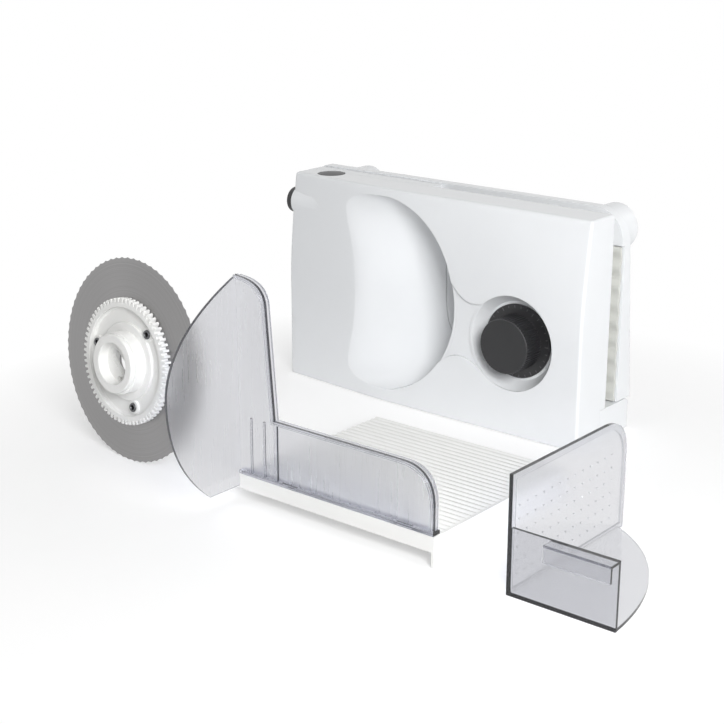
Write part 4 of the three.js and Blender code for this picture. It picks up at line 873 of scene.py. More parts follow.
def front_at(x, z):
    """Where the housing's front lies: it bends back on the left and leans back at the top."""
    past = BEND_X - x
    turned_back = BEND_SLOPE * (math.hypot(past, BEND_SOFT) + past) / 2
    share = max(0, (z - LEAN_START) / (HOUSING_TOP - LEAN_START))
    return HOUSING_FRONT + turned_back + LEAN_DEPTH * share ** LEAN_POWER


def housing_ring(z, inset, back):
    """A level section of the housing, drawn in by inset, with its back at back."""
    radius = CORNER_RADIUS - inset / 2
    rim = RIM_RADIUS - inset / 2
    up = max(0, z - (HOUSING_TOP - inset - rim))
    drawn_in = inset + rim - math.sqrt(max(0, rim ** 2 - up ** 2))
    right = HOUSING_RIGHT - drawn_in
    left = HOUSING_LEFT + drawn_in
    corner_steps = 8
    across_steps = 56
    ring = [(right, back, z)]
    for angle in quarter(corner_steps):
        x = right - radius + radius * math.cos(angle)
        ring.append((x, front_at(x, z) + drawn_in + radius - radius * math.sin(angle), z))
    for k in range(1, across_steps):
        x = right - radius + (left - right + 2 * radius) * k / across_steps
        ring.append((x, front_at(x, z) + drawn_in, z))
    for angle in quarter(corner_steps):
        x = left + radius - radius * math.sin(angle)
        ring.append((x, front_at(x, z) + drawn_in + radius - radius * math.cos(angle), z))
    ring.append((left, back, z))
    return ring


def housing_body(name, inset, back):
    """The whole housing as one solid, drawn in by inset, with its back at back."""
    top = HOUSING_TOP - inset
    rim = RIM_RADIUS - inset / 2
    lean_steps = 22
    rim_steps = 8
    heights = [HOUSING_LIFT + inset, LEAN_START / 2, LEAN_START]
    heights += [LEAN_START + (top - rim - LEAN_START) * k / lean_steps for k in range(1, lean_steps)]
    heights += [top - rim + rim * math.sin(angle) for angle in quarter(rim_steps)]
    return loft(name, [housing_ring(z, inset, back) for z in heights])


def bowl_point(across_share, up_share, deeper, wider, lip):
    """A point on the slice bowl, which falls away to its round right edge."""
    z = BOWL_MIDDLE + up_share * (BOWL_HALF_HEIGHT + wider)
    radius = BOWL_RADIUS + wider
    close = math.sqrt(max(0, 1 - up_share ** BOWL_END_POWER))
    waist = BOWL_WAIST_SHARE + BOWL_SWELL_SHARE * up_share ** 2 + BOWL_HIGH_SHARE * max(0, up_share) ** 2
    left = BLADE_SEAT_X - (BOWL_RADIUS * waist + wider) * close
    right = BLADE_SEAT_X + math.sqrt(radius ** 2 - (z - BLADE_SEAT_Z) ** 2)
    x = left + across_share * (right - left)
    fall = math.sin(across_share * math.pi / 2) ** BOWL_START_POWER
    fall *= max(0, 1 - up_share ** 2) ** BOWL_FALL_POWER
    depth = bpy.context.scene.slicer.shell.bowl_depth / MM
    return (x, front_at(x, z) - lip + depth * fall + deeper, z)


def bowl_body(name, deeper, wider, rows=60, columns=48):
    """The room of the slice bowl, made deeper and wider for the skin behind it."""
    lip = bpy.context.scene.slicer.shell.bowl_lip / MM
    near, far = [], []
    for i in range(rows + 1):
        up_share = math.sin((i / rows - 0.5) * math.pi)
        line = [bowl_point(j / columns, up_share, deeper, wider, lip) for j in range(columns + 1)]
        far.append(line)
        near.append([(x, BOWL_TOOL_FRONT, z) for x, _, z in line])
    return between(name, near, far)


def slit_body(name):
    """The gap beside the blade, along the bowl's right edge."""
    outline = arc(BLADE_SEAT, BOWL_RADIUS, -SLIT_HALF_ANGLE, SLIT_HALF_ANGLE, FINE)
    outline += arc(BLADE_SEAT, LIP_RADIUS, SLIT_HALF_ANGLE, -SLIT_HALF_ANGLE, FINE)
    return slab(name, "y", outline, COVER_FRONT, REAR_FACE + OVERRUN)


def keyhole_body(name):
    """The shallow step round the knob, with its neck to the bowl."""
    meet = math.radians(KEYHOLE_MEET)
    reach = KEYHOLE_RADIUS * math.cos(meet)
    rise = KEYHOLE_RADIUS * math.sin(meet)
    high_x, high_z = NECK_HIGH
    low_x, low_z = NECK_LOW
    outline = [(NECK_LEFT, NECK_HIGH_LEFT)]
    outline += bend(outline[-1], (high_x - NECK_HIGH_BEND, high_z), NECK_HIGH)
    outline += bend(outline[-1], (high_x + NECK_HIGH_BEND, high_z), (KNOB_X - reach, KNOB_Z + rise))
    outline += arc(KNOB_AXIS, KEYHOLE_RADIUS, 180 - KEYHOLE_MEET, KEYHOLE_MEET - 180, FINE)[1:]
    outline += bend(outline[-1], (low_x + NECK_LOW_BEND, low_z), NECK_LOW)
    outline += bend(outline[-1], (low_x - NECK_LOW_BEND, low_z), (NECK_LEFT, NECK_LOW_LEFT))
    return slab(name, "y", outline, HOUSING_FRONT - OVERRUN, HOUSING_FRONT + KEYHOLE_DEPTH)


def well_body(name, grow):
    """The round well that the knob sits in."""
    front = HOUSING_FRONT + KEYHOLE_DEPTH - GAP
    floor = WELL_FLOOR + grow
    profile = [
        (0, HOUSING_FRONT - OVERRUN), (KEYHOLE_RADIUS + grow, HOUSING_FRONT - OVERRUN),
        (KEYHOLE_RADIUS + grow, front), (WELL_RADIUS + grow, floor), (0, floor),
    ]
    return turned(name, "y", profile, KNOB_AXIS, FINE * 2)


def fairing_body(name):
    """The cone that fairs the side button into the housing's front."""
    profile = [
        (0, HOUSING_LEFT + GAP), (FAIRING_RADIUS, HOUSING_LEFT + GAP),
        (FAIRING_TIP, HOUSING_LEFT + FAIRING_LENGTH), (0, HOUSING_LEFT + FAIRING_LENGTH),
    ]
    return turned(name, "x", profile, SIDE_BUTTON_AXIS, FINE)


def bar_space(name):
    """Room in both shells for the foot bar."""
    return box(
        name, HOUSING_LEFT - OVERRUN, HOUSING_RIGHT + OVERRUN,
        BAR_FRONT - GAP, SEAM + OVERRUN, -OVERRUN, BAR_TOP + GAP,
    )


def top_button_hole(name):
    """The round hole for the switch button."""
    radius = TOP_BUTTON_RADIUS + SLIP / 2
    return rod(name, "z", radius, TOP_STEM_END, HOUSING_TOP + OVERRUN, TOP_BUTTON_AXIS, FINE)


def front_shell():
    """The front shell, with the bowl, the keyhole step and the knob well."""
    hollow = cut(
        housing_body("hollow", WALL, SEAM + OVERRUN),
        bowl_body("bowl skin", WALL, WALL, rows=30, columns=24),
        well_body("well skin", WALL),
        rod("block", "x", FAIRING_RADIUS, HOUSING_LEFT, FAIRING_BLOCK, SIDE_BUTTON_AXIS),
    )
    shell = join(housing_body("front_shell_skin", 0, SEAM), fairing_body("fairing"))
    outside = HOUSING_LEFT - OVERRUN
    bore_radius = SIDE_BUTTON_RADIUS + SLIP / 2
    stem_radius = SIDE_STEM_RADIUS + SLIP
    stem_start, stem_end = SIDE_BORE_END - OVERRUN, FAIRING_BLOCK + OVERRUN
    return cut(
        shell,
        hollow,
        bowl_body("bowl", 0, 0),
        slit_body("slit"),
        keyhole_body("keyhole"),
        well_body("well", 0),
        rod("shaft hole", "y", KNOB_SHAFT_RADIUS + GAP, HOUSING_FRONT, SEAM, KNOB_AXIS),
        top_button_hole("button hole"),
        rod("side bore", "x", bore_radius, outside, SIDE_BORE_END, SIDE_BUTTON_AXIS, FINE),
        rod("stem bore", "x", stem_radius, stem_start, stem_end, SIDE_BUTTON_AXIS),
        rod("gland hole", "x", GLAND_RADIUS + GAP, outside, HOUSING_LEFT + WALL + OVERRUN, GLAND_AXIS),
        *[rod("foot seat", "z", FOOT_RADIUS + GAP, -OVERRUN, FOOT_DEPTH, place) for place in FOOT_PLACES],
        bar_space("bar space"),
    )


def socket_body(name, grow):
    """The stepped pocket for the blade's gear and hub."""
    clear = SOCKET_CLEAR + grow
    floor = SOCKET_FLOOR - grow
    neck = REAR_FACE + BLADE_THICKNESS / 2 - HUB_NECK_DEPTH - clear
    profile = [
        (0, floor), (HUB_NOSE_RADIUS + clear, floor), (HUB_NOSE_RADIUS + clear, neck),
        (HUB_NECK_RADIUS + clear, neck), (HUB_NECK_RADIUS + clear, POCKET_FLOOR - grow),
        (POCKET_RADIUS + grow, POCKET_FLOOR - grow),
        (POCKET_RADIUS + grow, REAR_FACE + OVERRUN), (0, REAR_FACE + OVERRUN),
    ]
    return turned(name, "y", profile, BLADE_SEAT, FINE)


def rear_outline(grow):
    """Outline of the rear shell: round behind the bowl's right edge, straight elsewhere."""
    radius = LIP_RADIUS + grow
    bottom = BAR_TOP + GAP - grow
    start = math.degrees(math.asin((bottom - BLADE_SEAT_Z) / radius))
    end = math.degrees(math.asin((NECK_TOP - BLADE_SEAT_Z) / radius))
    outline = arc(BLADE_SEAT, radius, start, end, FINE)
    left, top = HOUSING_LEFT - OVERRUN, HOUSING_TOP + OVERRUN
    return outline + [(outline[-1][0], top), (left, top), (left, bottom)]


def rear_shell():
    """The rear shell behind the blade, with the pocket for the blade's gear and hub."""
    pinion_room = PINION_TIP + SLIP
    inner = slab("inner", "y", rear_outline(-WALL), SEAM + GAP - OVERRUN, REAR_FACE - WALL)
    hollow = cut(
        keep(housing_body("hollow", WALL, REAR_FACE - WALL), inner),
        bowl_body("bowl skin", WALL, WALL, rows=30, columns=24),
        socket_body("socket skin", WALL),
        rod("pinion skin", "y", pinion_room + WALL, POCKET_FLOOR - WALL, REAR_FACE, PINION_AXIS),
    )
    region = slab("region", "y", rear_outline(0), SEAM + GAP, REAR_FACE)
    shell = keep(housing_body("rear_shell_skin", 0, REAR_FACE), region)
    front = keep(socket_body("socket front", WALL), box(
        "front region", BLADE_SEAT_X - POCKET_RADIUS, BLADE_SEAT_X + POCKET_RADIUS, HOUSING_FRONT,
        POCKET_FLOOR - WALL / 2, BLADE_SEAT_Z - POCKET_RADIUS, BLADE_SEAT_Z + POCKET_RADIUS,
    ))
    shell = join(cut(shell, hollow), front)
    outside = REAR_FACE + OVERRUN
    seat_floor = REAR_FACE - SCREW_HEAD_DEPTH - 2 * GAP
    return cut(
        shell,
        bowl_body("bowl", 0, 0),
        top_button_hole("button hole"),
        socket_body("socket", 0),
        rod("pinion room", "y", pinion_room, POCKET_FLOOR, outside, PINION_AXIS),
        rod("spindle hole", "y", SPINDLE_RADIUS + GAP, HOUSING_FRONT, REAR_FACE, BLADE_SEAT),
        *[rod("screw seat", "y", SCREW_HEAD + GAP, seat_floor, outside, place) for place in SCREW_PLACES],
    )


# Knob and buttons

def knob():
    """The thickness knob: a ribbed grip with a rounded face edge, on a dial."""
    settings = bpy.context.scene.slicer.knob
    ribs = settings.ribs
    rib_depth = settings.rib_depth / MM
    steps = ribs * KNOB_RIB_STEPS
    dial_front = DIAL_BACK - DIAL_THICKNESS

    def ring(radius, depth, y):
        spots = []
        for k in range(steps):
            angle = 2 * math.pi * k / steps
            groove = (0.5 - 0.5 * math.cos(ribs * angle)) ** KNOB_GROOVE_POWER
            at = radius - depth * groove
            spots.append((KNOB_X + at * math.cos(angle), y, KNOB_Z + at * math.sin(angle)))
        return spots

    edge_steps = 6
    rings = [ring(KNOB_RADIUS, rib_depth, dial_front + GAP)]
    for k, angle in enumerate(quarter(edge_steps)):
        radius = KNOB_RADIUS - KNOB_EDGE * (1 - math.cos(angle))
        y = KNOB_FACE + KNOB_EDGE * (1 - math.sin(angle))
        rings.append(ring(radius, rib_depth * (1 - k / edge_steps), y))
    grip = loft("knob_grip", rings)
    dial = turned("dial", "y", [
        (0, dial_front), (DIAL_RADIUS - DIAL_ROUND, dial_front), (DIAL_RADIUS, dial_front + DIAL_ROUND),
        (DIAL_RADIUS, DIAL_BACK), (0, DIAL_BACK),
    ], KNOB_AXIS, FINE * 2)
    shaft = rod("shaft", "y", KNOB_SHAFT_RADIUS, DIAL_BACK - GAP, KNOB_SHAFT_END, KNOB_AXIS)
    return join(grip, dial, shaft)


def dial_marks():
    """Plain scale marks, raised on the dial round the grip."""
    points, faces = [], []
    outer = DIAL_RADIUS - DIAL_MARK_INSET
    front = DIAL_BACK - DIAL_THICKNESS - DIAL_MARK_RISE
    back = DIAL_BACK - DIAL_THICKNESS + GAP
    for mark in range(DIAL_MARKS):
        angle = 2 * math.pi * mark / DIAL_MARKS
        along = Vector((math.cos(angle), 0, math.sin(angle)))
        across = Vector((-math.sin(angle), 0, math.cos(angle)))
        length = DIAL_MARK_LENGTH
        if mark % DIAL_LONG_MARK_EVERY:
            length *= DIAL_SHORT_SHARE
        first = len(points)
        for y in (front, back):
            for radius, side in ((outer, -1), (outer, 1), (outer - length, 1), (outer - length, -1)):
                spot = along * radius + across * side * DIAL_MARK_WIDTH / 2
                points.append((KNOB_X + spot.x, y, KNOB_Z + spot.z))
        faces.append((first, first + 1, first + 2, first + 3))
        faces.append((first + 7, first + 6, first + 5, first + 4))
        for k in range(4):
            following = (k + 1) % 4
            faces.append((first + k, first + 4 + k, first + 4 + following, first + following))
    return mesh_from("dial_scale", points, faces)


def top_button():
    """The round switch button in the housing's top, slightly domed."""
    crown = TOP_BUTTON_CROWN_SHARE
    profile = []
    for k in range(DOME_STEPS + 1):
        share = k / DOME_STEPS
        profile.append((TOP_BUTTON_RADIUS * share * crown, TOP_BUTTON_TOP - TOP_BUTTON_DOME * share ** 2))
    for angle in quarter(EDGE_STEPS)[1:]:
        profile.append((
            TOP_BUTTON_RADIUS * (crown + (1 - crown) * math.sin(angle)),
            TOP_BUTTON_TOP - TOP_BUTTON_DOME - BUTTON_ROUND * (1 - math.cos(angle)),
        ))
    profile += [
        (TOP_BUTTON_RADIUS, TOP_BUTTON_UNDER), (STEM_RADIUS, TOP_BUTTON_UNDER),
        (STEM_RADIUS, TOP_STEM_END), (0, TOP_STEM_END),
    ]
    return turned("top_button_cap", "z", profile, TOP_BUTTON_AXIS, FINE)


def side_button():
    """The lock button on the housing's left end, with a raised ring round its face."""
    face = SIDE_BUTTON_FACE
    ring = SIDE_BUTTON_RADIUS * SIDE_RING_SHARE
    profile = [(0, face + SIDE_BUTTON_DISH)]
    profile += [(ring + outwards, face + depth) for outwards, depth in SIDE_RING]
    for angle in quarter(EDGE_STEPS):
        profile.append((
            SIDE_BUTTON_RADIUS - BUTTON_ROUND + BUTTON_ROUND * math.sin(angle),
            face + BUTTON_ROUND * (1 - math.cos(angle)) + SIDE_EDGE_DEPTH,
        ))
    profile += [
        (SIDE_BUTTON_RADIUS, SIDE_BUTTON_SEAT), (SIDE_STEM_RADIUS, SIDE_BUTTON_SEAT),
        (SIDE_STEM_RADIUS, SIDE_STEM_END), (0, SIDE_STEM_END),
    ]
    return turned("side_button_cap", "x", profile, SIDE_BUTTON_AXIS, FINE)


def cord_gland():
    """The rubber gland that the mains cord comes out of, with soft ribs round its flange."""
    outer = HOUSING_LEFT - GAP
    inner = HOUSING_LEFT + WALL + GAP
    face = outer - GLAND_FLANGE_DEPTH
    profile = [(GLAND_BORE, face)]
    steps = GLAND_RIBS * GLAND_RIB_STEPS
    for k in range(1, steps):
        share = k / steps
        wave = GLAND_RIB_HEIGHT * (1 - math.cos(share * GLAND_RIBS * 2 * math.pi)) / 2
        profile.append((GLAND_BORE + (GLAND_FLANGE - GLAND_BORE) * share, face + wave))
    profile += [
        (GLAND_FLANGE, face + GLAND_EDGE_DEPTH), (GLAND_FLANGE, outer), (GLAND_RADIUS, outer),
        (GLAND_RADIUS, inner), (GLAND_FLANGE, inner), (GLAND_FLANGE, inner + GLAND_FLANGE_DEPTH),
        (GLAND_BORE, inner + GLAND_FLANGE_DEPTH),
    ]
    return turned("cord_gland_sleeve", "x", profile, GLAND_AXIS, FINE)


# Stop plate and base

def stop_plate():
    """The corrugated stop plate, cut round the blade, with its bosses, arm and peg."""
    steps = round((STOP_TOP - STOP_BOTTOM) / WAVE_PITCH * WAVE_STEPS)
    middle = STOP_FACE + WAVE_HEIGHT
    front = []
    for k in range(steps + 1):
        z = STOP_BOTTOM + (STOP_TOP - STOP_BOTTOM) * k / steps
        front.append((middle + WAVE_HEIGHT * math.cos((z - STOP_BOTTOM) / WAVE_PITCH * 2 * math.pi), z))
    outline = front + [(y + STOP_THICKNESS, z) for y, z in reversed(front)]
    room = BLADE_RADIUS + STOP_CLEAR
    plate = cut(
        slab("stop_plate_sheet", "x", outline, BLADE_SEAT_X, STOP_RIGHT),
        rod("blade room", "y", room, STOP_FACE - OVERRUN, BASE_INNER + OVERRUN, BLADE_SEAT, FINE * 2),
    )
    back = middle + WAVE_HEIGHT
    arm_bottom = KNOB_Z + CAM_RADIUS + SLIP
    arm = box(
        "arm", KNOB_X - ARM_WIDTH / 2, KNOB_X + ARM_WIDTH / 2,
        PEG_PLACE - PEG_RADIUS - GAP, back, arm_bottom, arm_bottom + ARM_THICKNESS,
    )
    peg_end = KNOB_Z + CAM_CORE_RADIUS + GAP * 2
    peg = rod("peg", "z", PEG_RADIUS, peg_end, arm_bottom + GAP, (KNOB_X, PEG_PLACE))
    face = STOP_FACE - GUIDE_BOSS_DEPTH
    bosses = [rod("boss", "y", GUIDE_BOSS_RADIUS, face, back, place) for place in GUIDE_PLACES]
    bore = GUIDE_RADIUS + GAP
    bores = [rod("bore", "y", bore, face - OVERRUN, STOP_FACE, place) for place in GUIDE_PLACES]
    return cut(join(plate, arm, peg, *bosses), *bores)


def base_frame(inset, low, high):
    """Outline of the folded base: one top corner is large and round, the other nearly square."""
    corner = BASE_CORNER - inset
    left_corner = BASE_CORNER_LEFT - inset
    outline = [(HOUSING_LEFT + inset, low), (HOUSING_RIGHT - inset, low)]
    outline += arc((HOUSING_RIGHT - BASE_CORNER, high - corner), corner, 0, 90, CORNER_STEPS)
    left_middle = (HOUSING_LEFT + BASE_CORNER_LEFT, high - left_corner)
    return outline + arc(left_middle, left_corner, 90, 180, CORNER_STEPS)


def base_tray():
    """The folded base: a shallow ribbed tray with a rail, two foot barrels and hinge lugs."""
    bottom = BASE_BOTTOM
    left, right = HOUSING_LEFT, HOUSING_RIGHT
    behind = BASE_OUTER_LOW + OVERRUN

    def outer_at(z):
        return BASE_OUTER_LOW + (BASE_OUTER_HIGH - BASE_OUTER_LOW) * (z - bottom) / (BASE_TOP - bottom)

    def block(name):
        return slab(name, "x", [
            (BASE_INNER, bottom), (outer_at(bottom), bottom), (outer_at(BASE_TOP), BASE_TOP),
            (RAIL_FRONT, BASE_TOP), (RAIL_FRONT, RAIL_BOTTOM), (BASE_INNER, RAIL_BOTTOM),
        ], left, right)

    def framed(name, inset, low, high, near):
        return slab(name, "y", base_frame(inset, low, high), near, behind)

    def whole_frame():
        return framed("frame", 0, bottom, BASE_TOP, RAIL_FRONT - OVERRUN)

    body = keep(block("base_tray_skin"), whole_frame())
    floor = BASE_INNER + BASE_WALL
    inner = (BASE_WALL, bottom + BASE_WALL, BASE_TOP - BASE_WALL)
    tray_hollow = keep(
        framed("tray hollow", *inner, floor),
        box("low part", left, right, floor - OVERRUN, behind + OVERRUN, bottom, RAIL_BOTTOM),
    )
    rail_hollow = keep(
        framed("rail hollow", *inner, RAIL_FRONT + BASE_WALL),
        box("high part", left, right, RAIL_FRONT, behind + OVERRUN, RAIL_BOTTOM + BASE_WALL, BASE_TOP),
    )
    ribs = []
    rib_front = floor - GAP
    half = BASE_RIB / 2
    for k in range(1, BASE_COLUMNS):
        x = left + (right - left) * k / BASE_COLUMNS
        ribs.append(box("rib", x - half, x + half, rib_front, BASE_OUTER_LOW, bottom, BASE_TOP))
    for k in range(1, BASE_ROWS):
        z = bottom + (RAIL_BOTTOM - bottom) * k / BASE_ROWS
        ribs.append(box("rib", left, right, rib_front, BASE_OUTER_LOW, z - half, z + half))
    grid = keep(keep(join(*ribs), block("block")), whole_frame())
    barrel_end = HINGE_Y + HINGE_Z - PAD_THICKNESS - GAP
    barrel_inside = barrel_end - BARREL_WALL
    hollow = BARREL_RADIUS - BARREL_WALL
    knuckle = KNUCKLE_RADIUS - GAP
    barrels, hollows, lugs, bores = [], [], [], []
    for side in (-1, 1):
        at = (side * BARREL_X, BARREL_Z)
        barrels.append(rod("barrel", "y", BARREL_RADIUS, rib_front, barrel_end, at, FINE))
        hollows.append(rod("barrel hollow", "y", hollow, floor, barrel_inside, at, FINE))
        start, end = (side * KNUCKLE_X + share * KNUCKLE_WIDTH for share in (-0.5, 0.5))
        lugs.append(rod("knuckle", "x", knuckle, start, end, HINGE_AXIS))
        lugs.append(box(
            "lug", start, end, HINGE_Y - knuckle, HINGE_Y + knuckle, HINGE_Z, bottom + BASE_WALL,
        ))
        pin_radius = HINGE_PIN_RADIUS + GAP
        bores.append(rod("pin bore", "x", pin_radius, start - OVERRUN, end + OVERRUN, HINGE_AXIS))
        bores.append(rod("drain", "y", BARREL_WALL, barrel_inside - OVERRUN, barrel_end + OVERRUN, at))
    tray = join(cut(body, tray_hollow, rail_hollow), grid, *barrels)
    return cut(join(cut(tray, *hollows), *lugs), *bores)


# Carriage

def carriage():
    """The ribbed carriage plate on short walls, with one full-height wall on its right."""
    settings = bpy.context.scene.slicer.carriage
    ribs = settings.ribs
    rib_height = settings.rib_height / MM
    top = CARRIAGE_TOP - rib_height
    under = top - CARRIAGE_PLATE
    skirt = CARRIAGE_TOP - CARRIAGE_SKIRT
    left, right = CARRIAGE_LEFT, CARRIAGE_RIGHT
    front, back = CARRIAGE_FRONT, CARRIAGE_BACK
    wall = CARRIAGE_WALL
    start = front + CARRIAGE_MARGIN
    steps = ribs * RIB_STEPS
    outline = [(front, under), (front, CARRIAGE_TOP), (start, CARRIAGE_TOP)]
    for k in range(1, steps + 1):
        wave = (0.5 + 0.5 * math.cos(2 * math.pi * k / RIB_STEPS)) ** RIB_POWER
        outline.append((start + (back - start) * k / steps, top + rib_height * wave))
    outline.append((back, under))
    plate = slab("carriage_deck", "x", outline, left, right)
    runner_left = left + RUNNER_INSET
    parts = [
        box("front wall", left, right, front, front + wall, skirt, top),
        box("back wall", left, right, back - wall, back, skirt, top - GAP),
        box("left wall", left, left + wall, front, back, skirt, top - GAP),
        box("right wall", right - wall, right, front, back, 0, CARRIAGE_TOP),
        box("runner", runner_left, runner_left + RUNNER_WIDTH,
            front + RUNNER_START, back - CARRIAGE_MARGIN, 0, under + GAP),
    ]
    for rib in range(1, CROSS_RIBS):
        y = front + (back - front) * rib / CROSS_RIBS
        parts.append(box("cross rib", left, right, y, y + wall, skirt, top - GAP))
    slots = [
        tab_body("tab slot", x, GAP, CARRIAGE_TOP - TAB_DEPTH - GAP, CARRIAGE_TOP + OVERRUN)
        for x in TAB_PLACES
    ]
    return cut(join(plate, *parts), *slots)


def tab_body(name, x, grow, low, high):
    """A tab of the guard, or with some grow the slot that takes it."""
    half_width = TAB_WIDTH / 2 + grow
    half_depth = TAB_THICKNESS / 2 + grow
    front, back = GUARD_Y - half_depth, GUARD_Y + half_depth
    return box(name, x - half_width, x + half_width, front, back, low, high)


# Clear pieces

def flat_at(turn, distance):
    """Whether a face is square enough to an axis and near enough to a flat of the piece."""
    return abs(turn) > PANEL_SQUARE and distance < PANEL_NEAR


def mark_panels(piece, is_panel, etch):
    """Write the attribute that tells panel faces, etched by this share, from polished rims."""
    panel = piece.data.attributes.new("panel", "FLOAT", "FACE")
    for face in piece.data.polygons:
        centre = face.center / MM
        panel.data[face.index].value = etch if is_panel(centre, face.normal) else 0.0


def guard_outline(inset):
    """Outline of the low wall and the tall part, drawn in by inset."""
    foot = CARRIAGE_TOP + GAP
    right, low, high = GUARD_RIGHT - inset, GUARD_LOW_TOP - inset, GUARD_TALL_TOP - inset
    shoulder = GUARD_TALL_SHOULDER - inset
    outline = [(GUARD_FOLD_X, foot), (right, foot), (right, low - GUARD_CORNER)]
    outline += bend(outline[-1], (right, low), (right - GUARD_CORNER, low))
    outline.append((GUARD_TALL_FOOT - inset, low))
    outline.append((shoulder, GUARD_TALL_RISE - inset))
    outline += bend(outline[-1], (shoulder, high), (GUARD_FOLD_X, high))
    return outline


def shield_outline():
    """Outline of the shield, seen from the side."""
    back = GUARD_Y + GUARD_THICKNESS / 2
    reach = GUARD_Y - SHIELD_REACH
    outline = [(back, SHIELD_FOOT), (GUARD_Y - SHIELD_FOOT_REACH, SHIELD_FOOT)]
    low_handle = (reach, SHIELD_FOOT + SHIELD_FOOT_REACH)
    top_handle = (reach, GUARD_TALL_TOP - SHIELD_FOOT_REACH)
    outline += bend(outline[-1], low_handle, (reach, SHIELD_MIDDLE), SHIELD_STEPS)
    return outline + bend(outline[-1], top_handle, (back, GUARD_TALL_TOP), SHIELD_STEPS)


def guard():
    """The clear guard: a low wall, a tall part, and a shield turned towards the user's hand."""
    foot = CARRIAGE_TOP + GAP
    near = GUARD_Y - GUARD_THICKNESS / 2
    far = GUARD_Y + GUARD_THICKNESS / 2
    half = GUARD_RIM_DEPTH / 2
    fold_half = GUARD_THICKNESS / 2
    rim_low, rim_high = GUARD_Y - GUARD_RIM_DEPTH, GUARD_Y + GUARD_RIM_DEPTH
    sheet = slab("guard_sheet", "y", guard_outline(0), near, far)
    rim = cut(
        slab("rim", "y", guard_outline(0), GUARD_Y - half, GUARD_Y + half),
        slab("rim inside", "y", guard_outline(GUARD_RIM), rim_low, rim_high),
        box("fold end", GUARD_FOLD_X - OVERRUN, GUARD_FOLD_X + GUARD_THICKNESS, rim_low, rim_high,
            foot - OVERRUN, GUARD_TALL_TOP - GUARD_RIM),
    )
    flange = box(
        "flange", CARRIAGE_LEFT + GAP, GUARD_RIGHT,
        GUARD_Y - half, GUARD_Y - half + GUARD_FLANGE_DEPTH, foot, foot + GUARD_FLANGE,
    )
    fin_top = GUARD_LOW_TOP - GUARD_RIM
    fins = [
        box("fin", x - width / 2, x + width / 2, near - FIN_DEPTH, near + GAP, foot, fin_top)
        for x, width in zip(FIN_PLACES, FIN_WIDTHS)
    ]
    tabs = [tab_body("tab", x, 0, foot - TAB_DEPTH, foot + GAP) for x in TAB_PLACES]
    shield = slab("shield", "x", shield_outline(), GUARD_FOLD_X - fold_half, GUARD_FOLD_X + fold_half)
    body = join(sheet, rim, flange, *fins, *tabs, shield)
    cut(body, box(
        "wall room", CARRIAGE_LEFT - GAP, CARRIAGE_LEFT + OVERRUN,
        GUARD_Y - SHIELD_REACH, GUARD_Y + OVERRUN, 0, CARRIAGE_TOP - GAP,
    ))

    def is_panel(centre, normal):
        on_wall = flat_at(normal.y, abs(abs(centre.y - GUARD_Y) - fold_half))
        on_shield = flat_at(normal.x, abs(abs(centre.x - GUARD_FOLD_X) - fold_half))
        return on_wall or on_shield

    mark_panels(body, is_panel, 1.0)
    return body


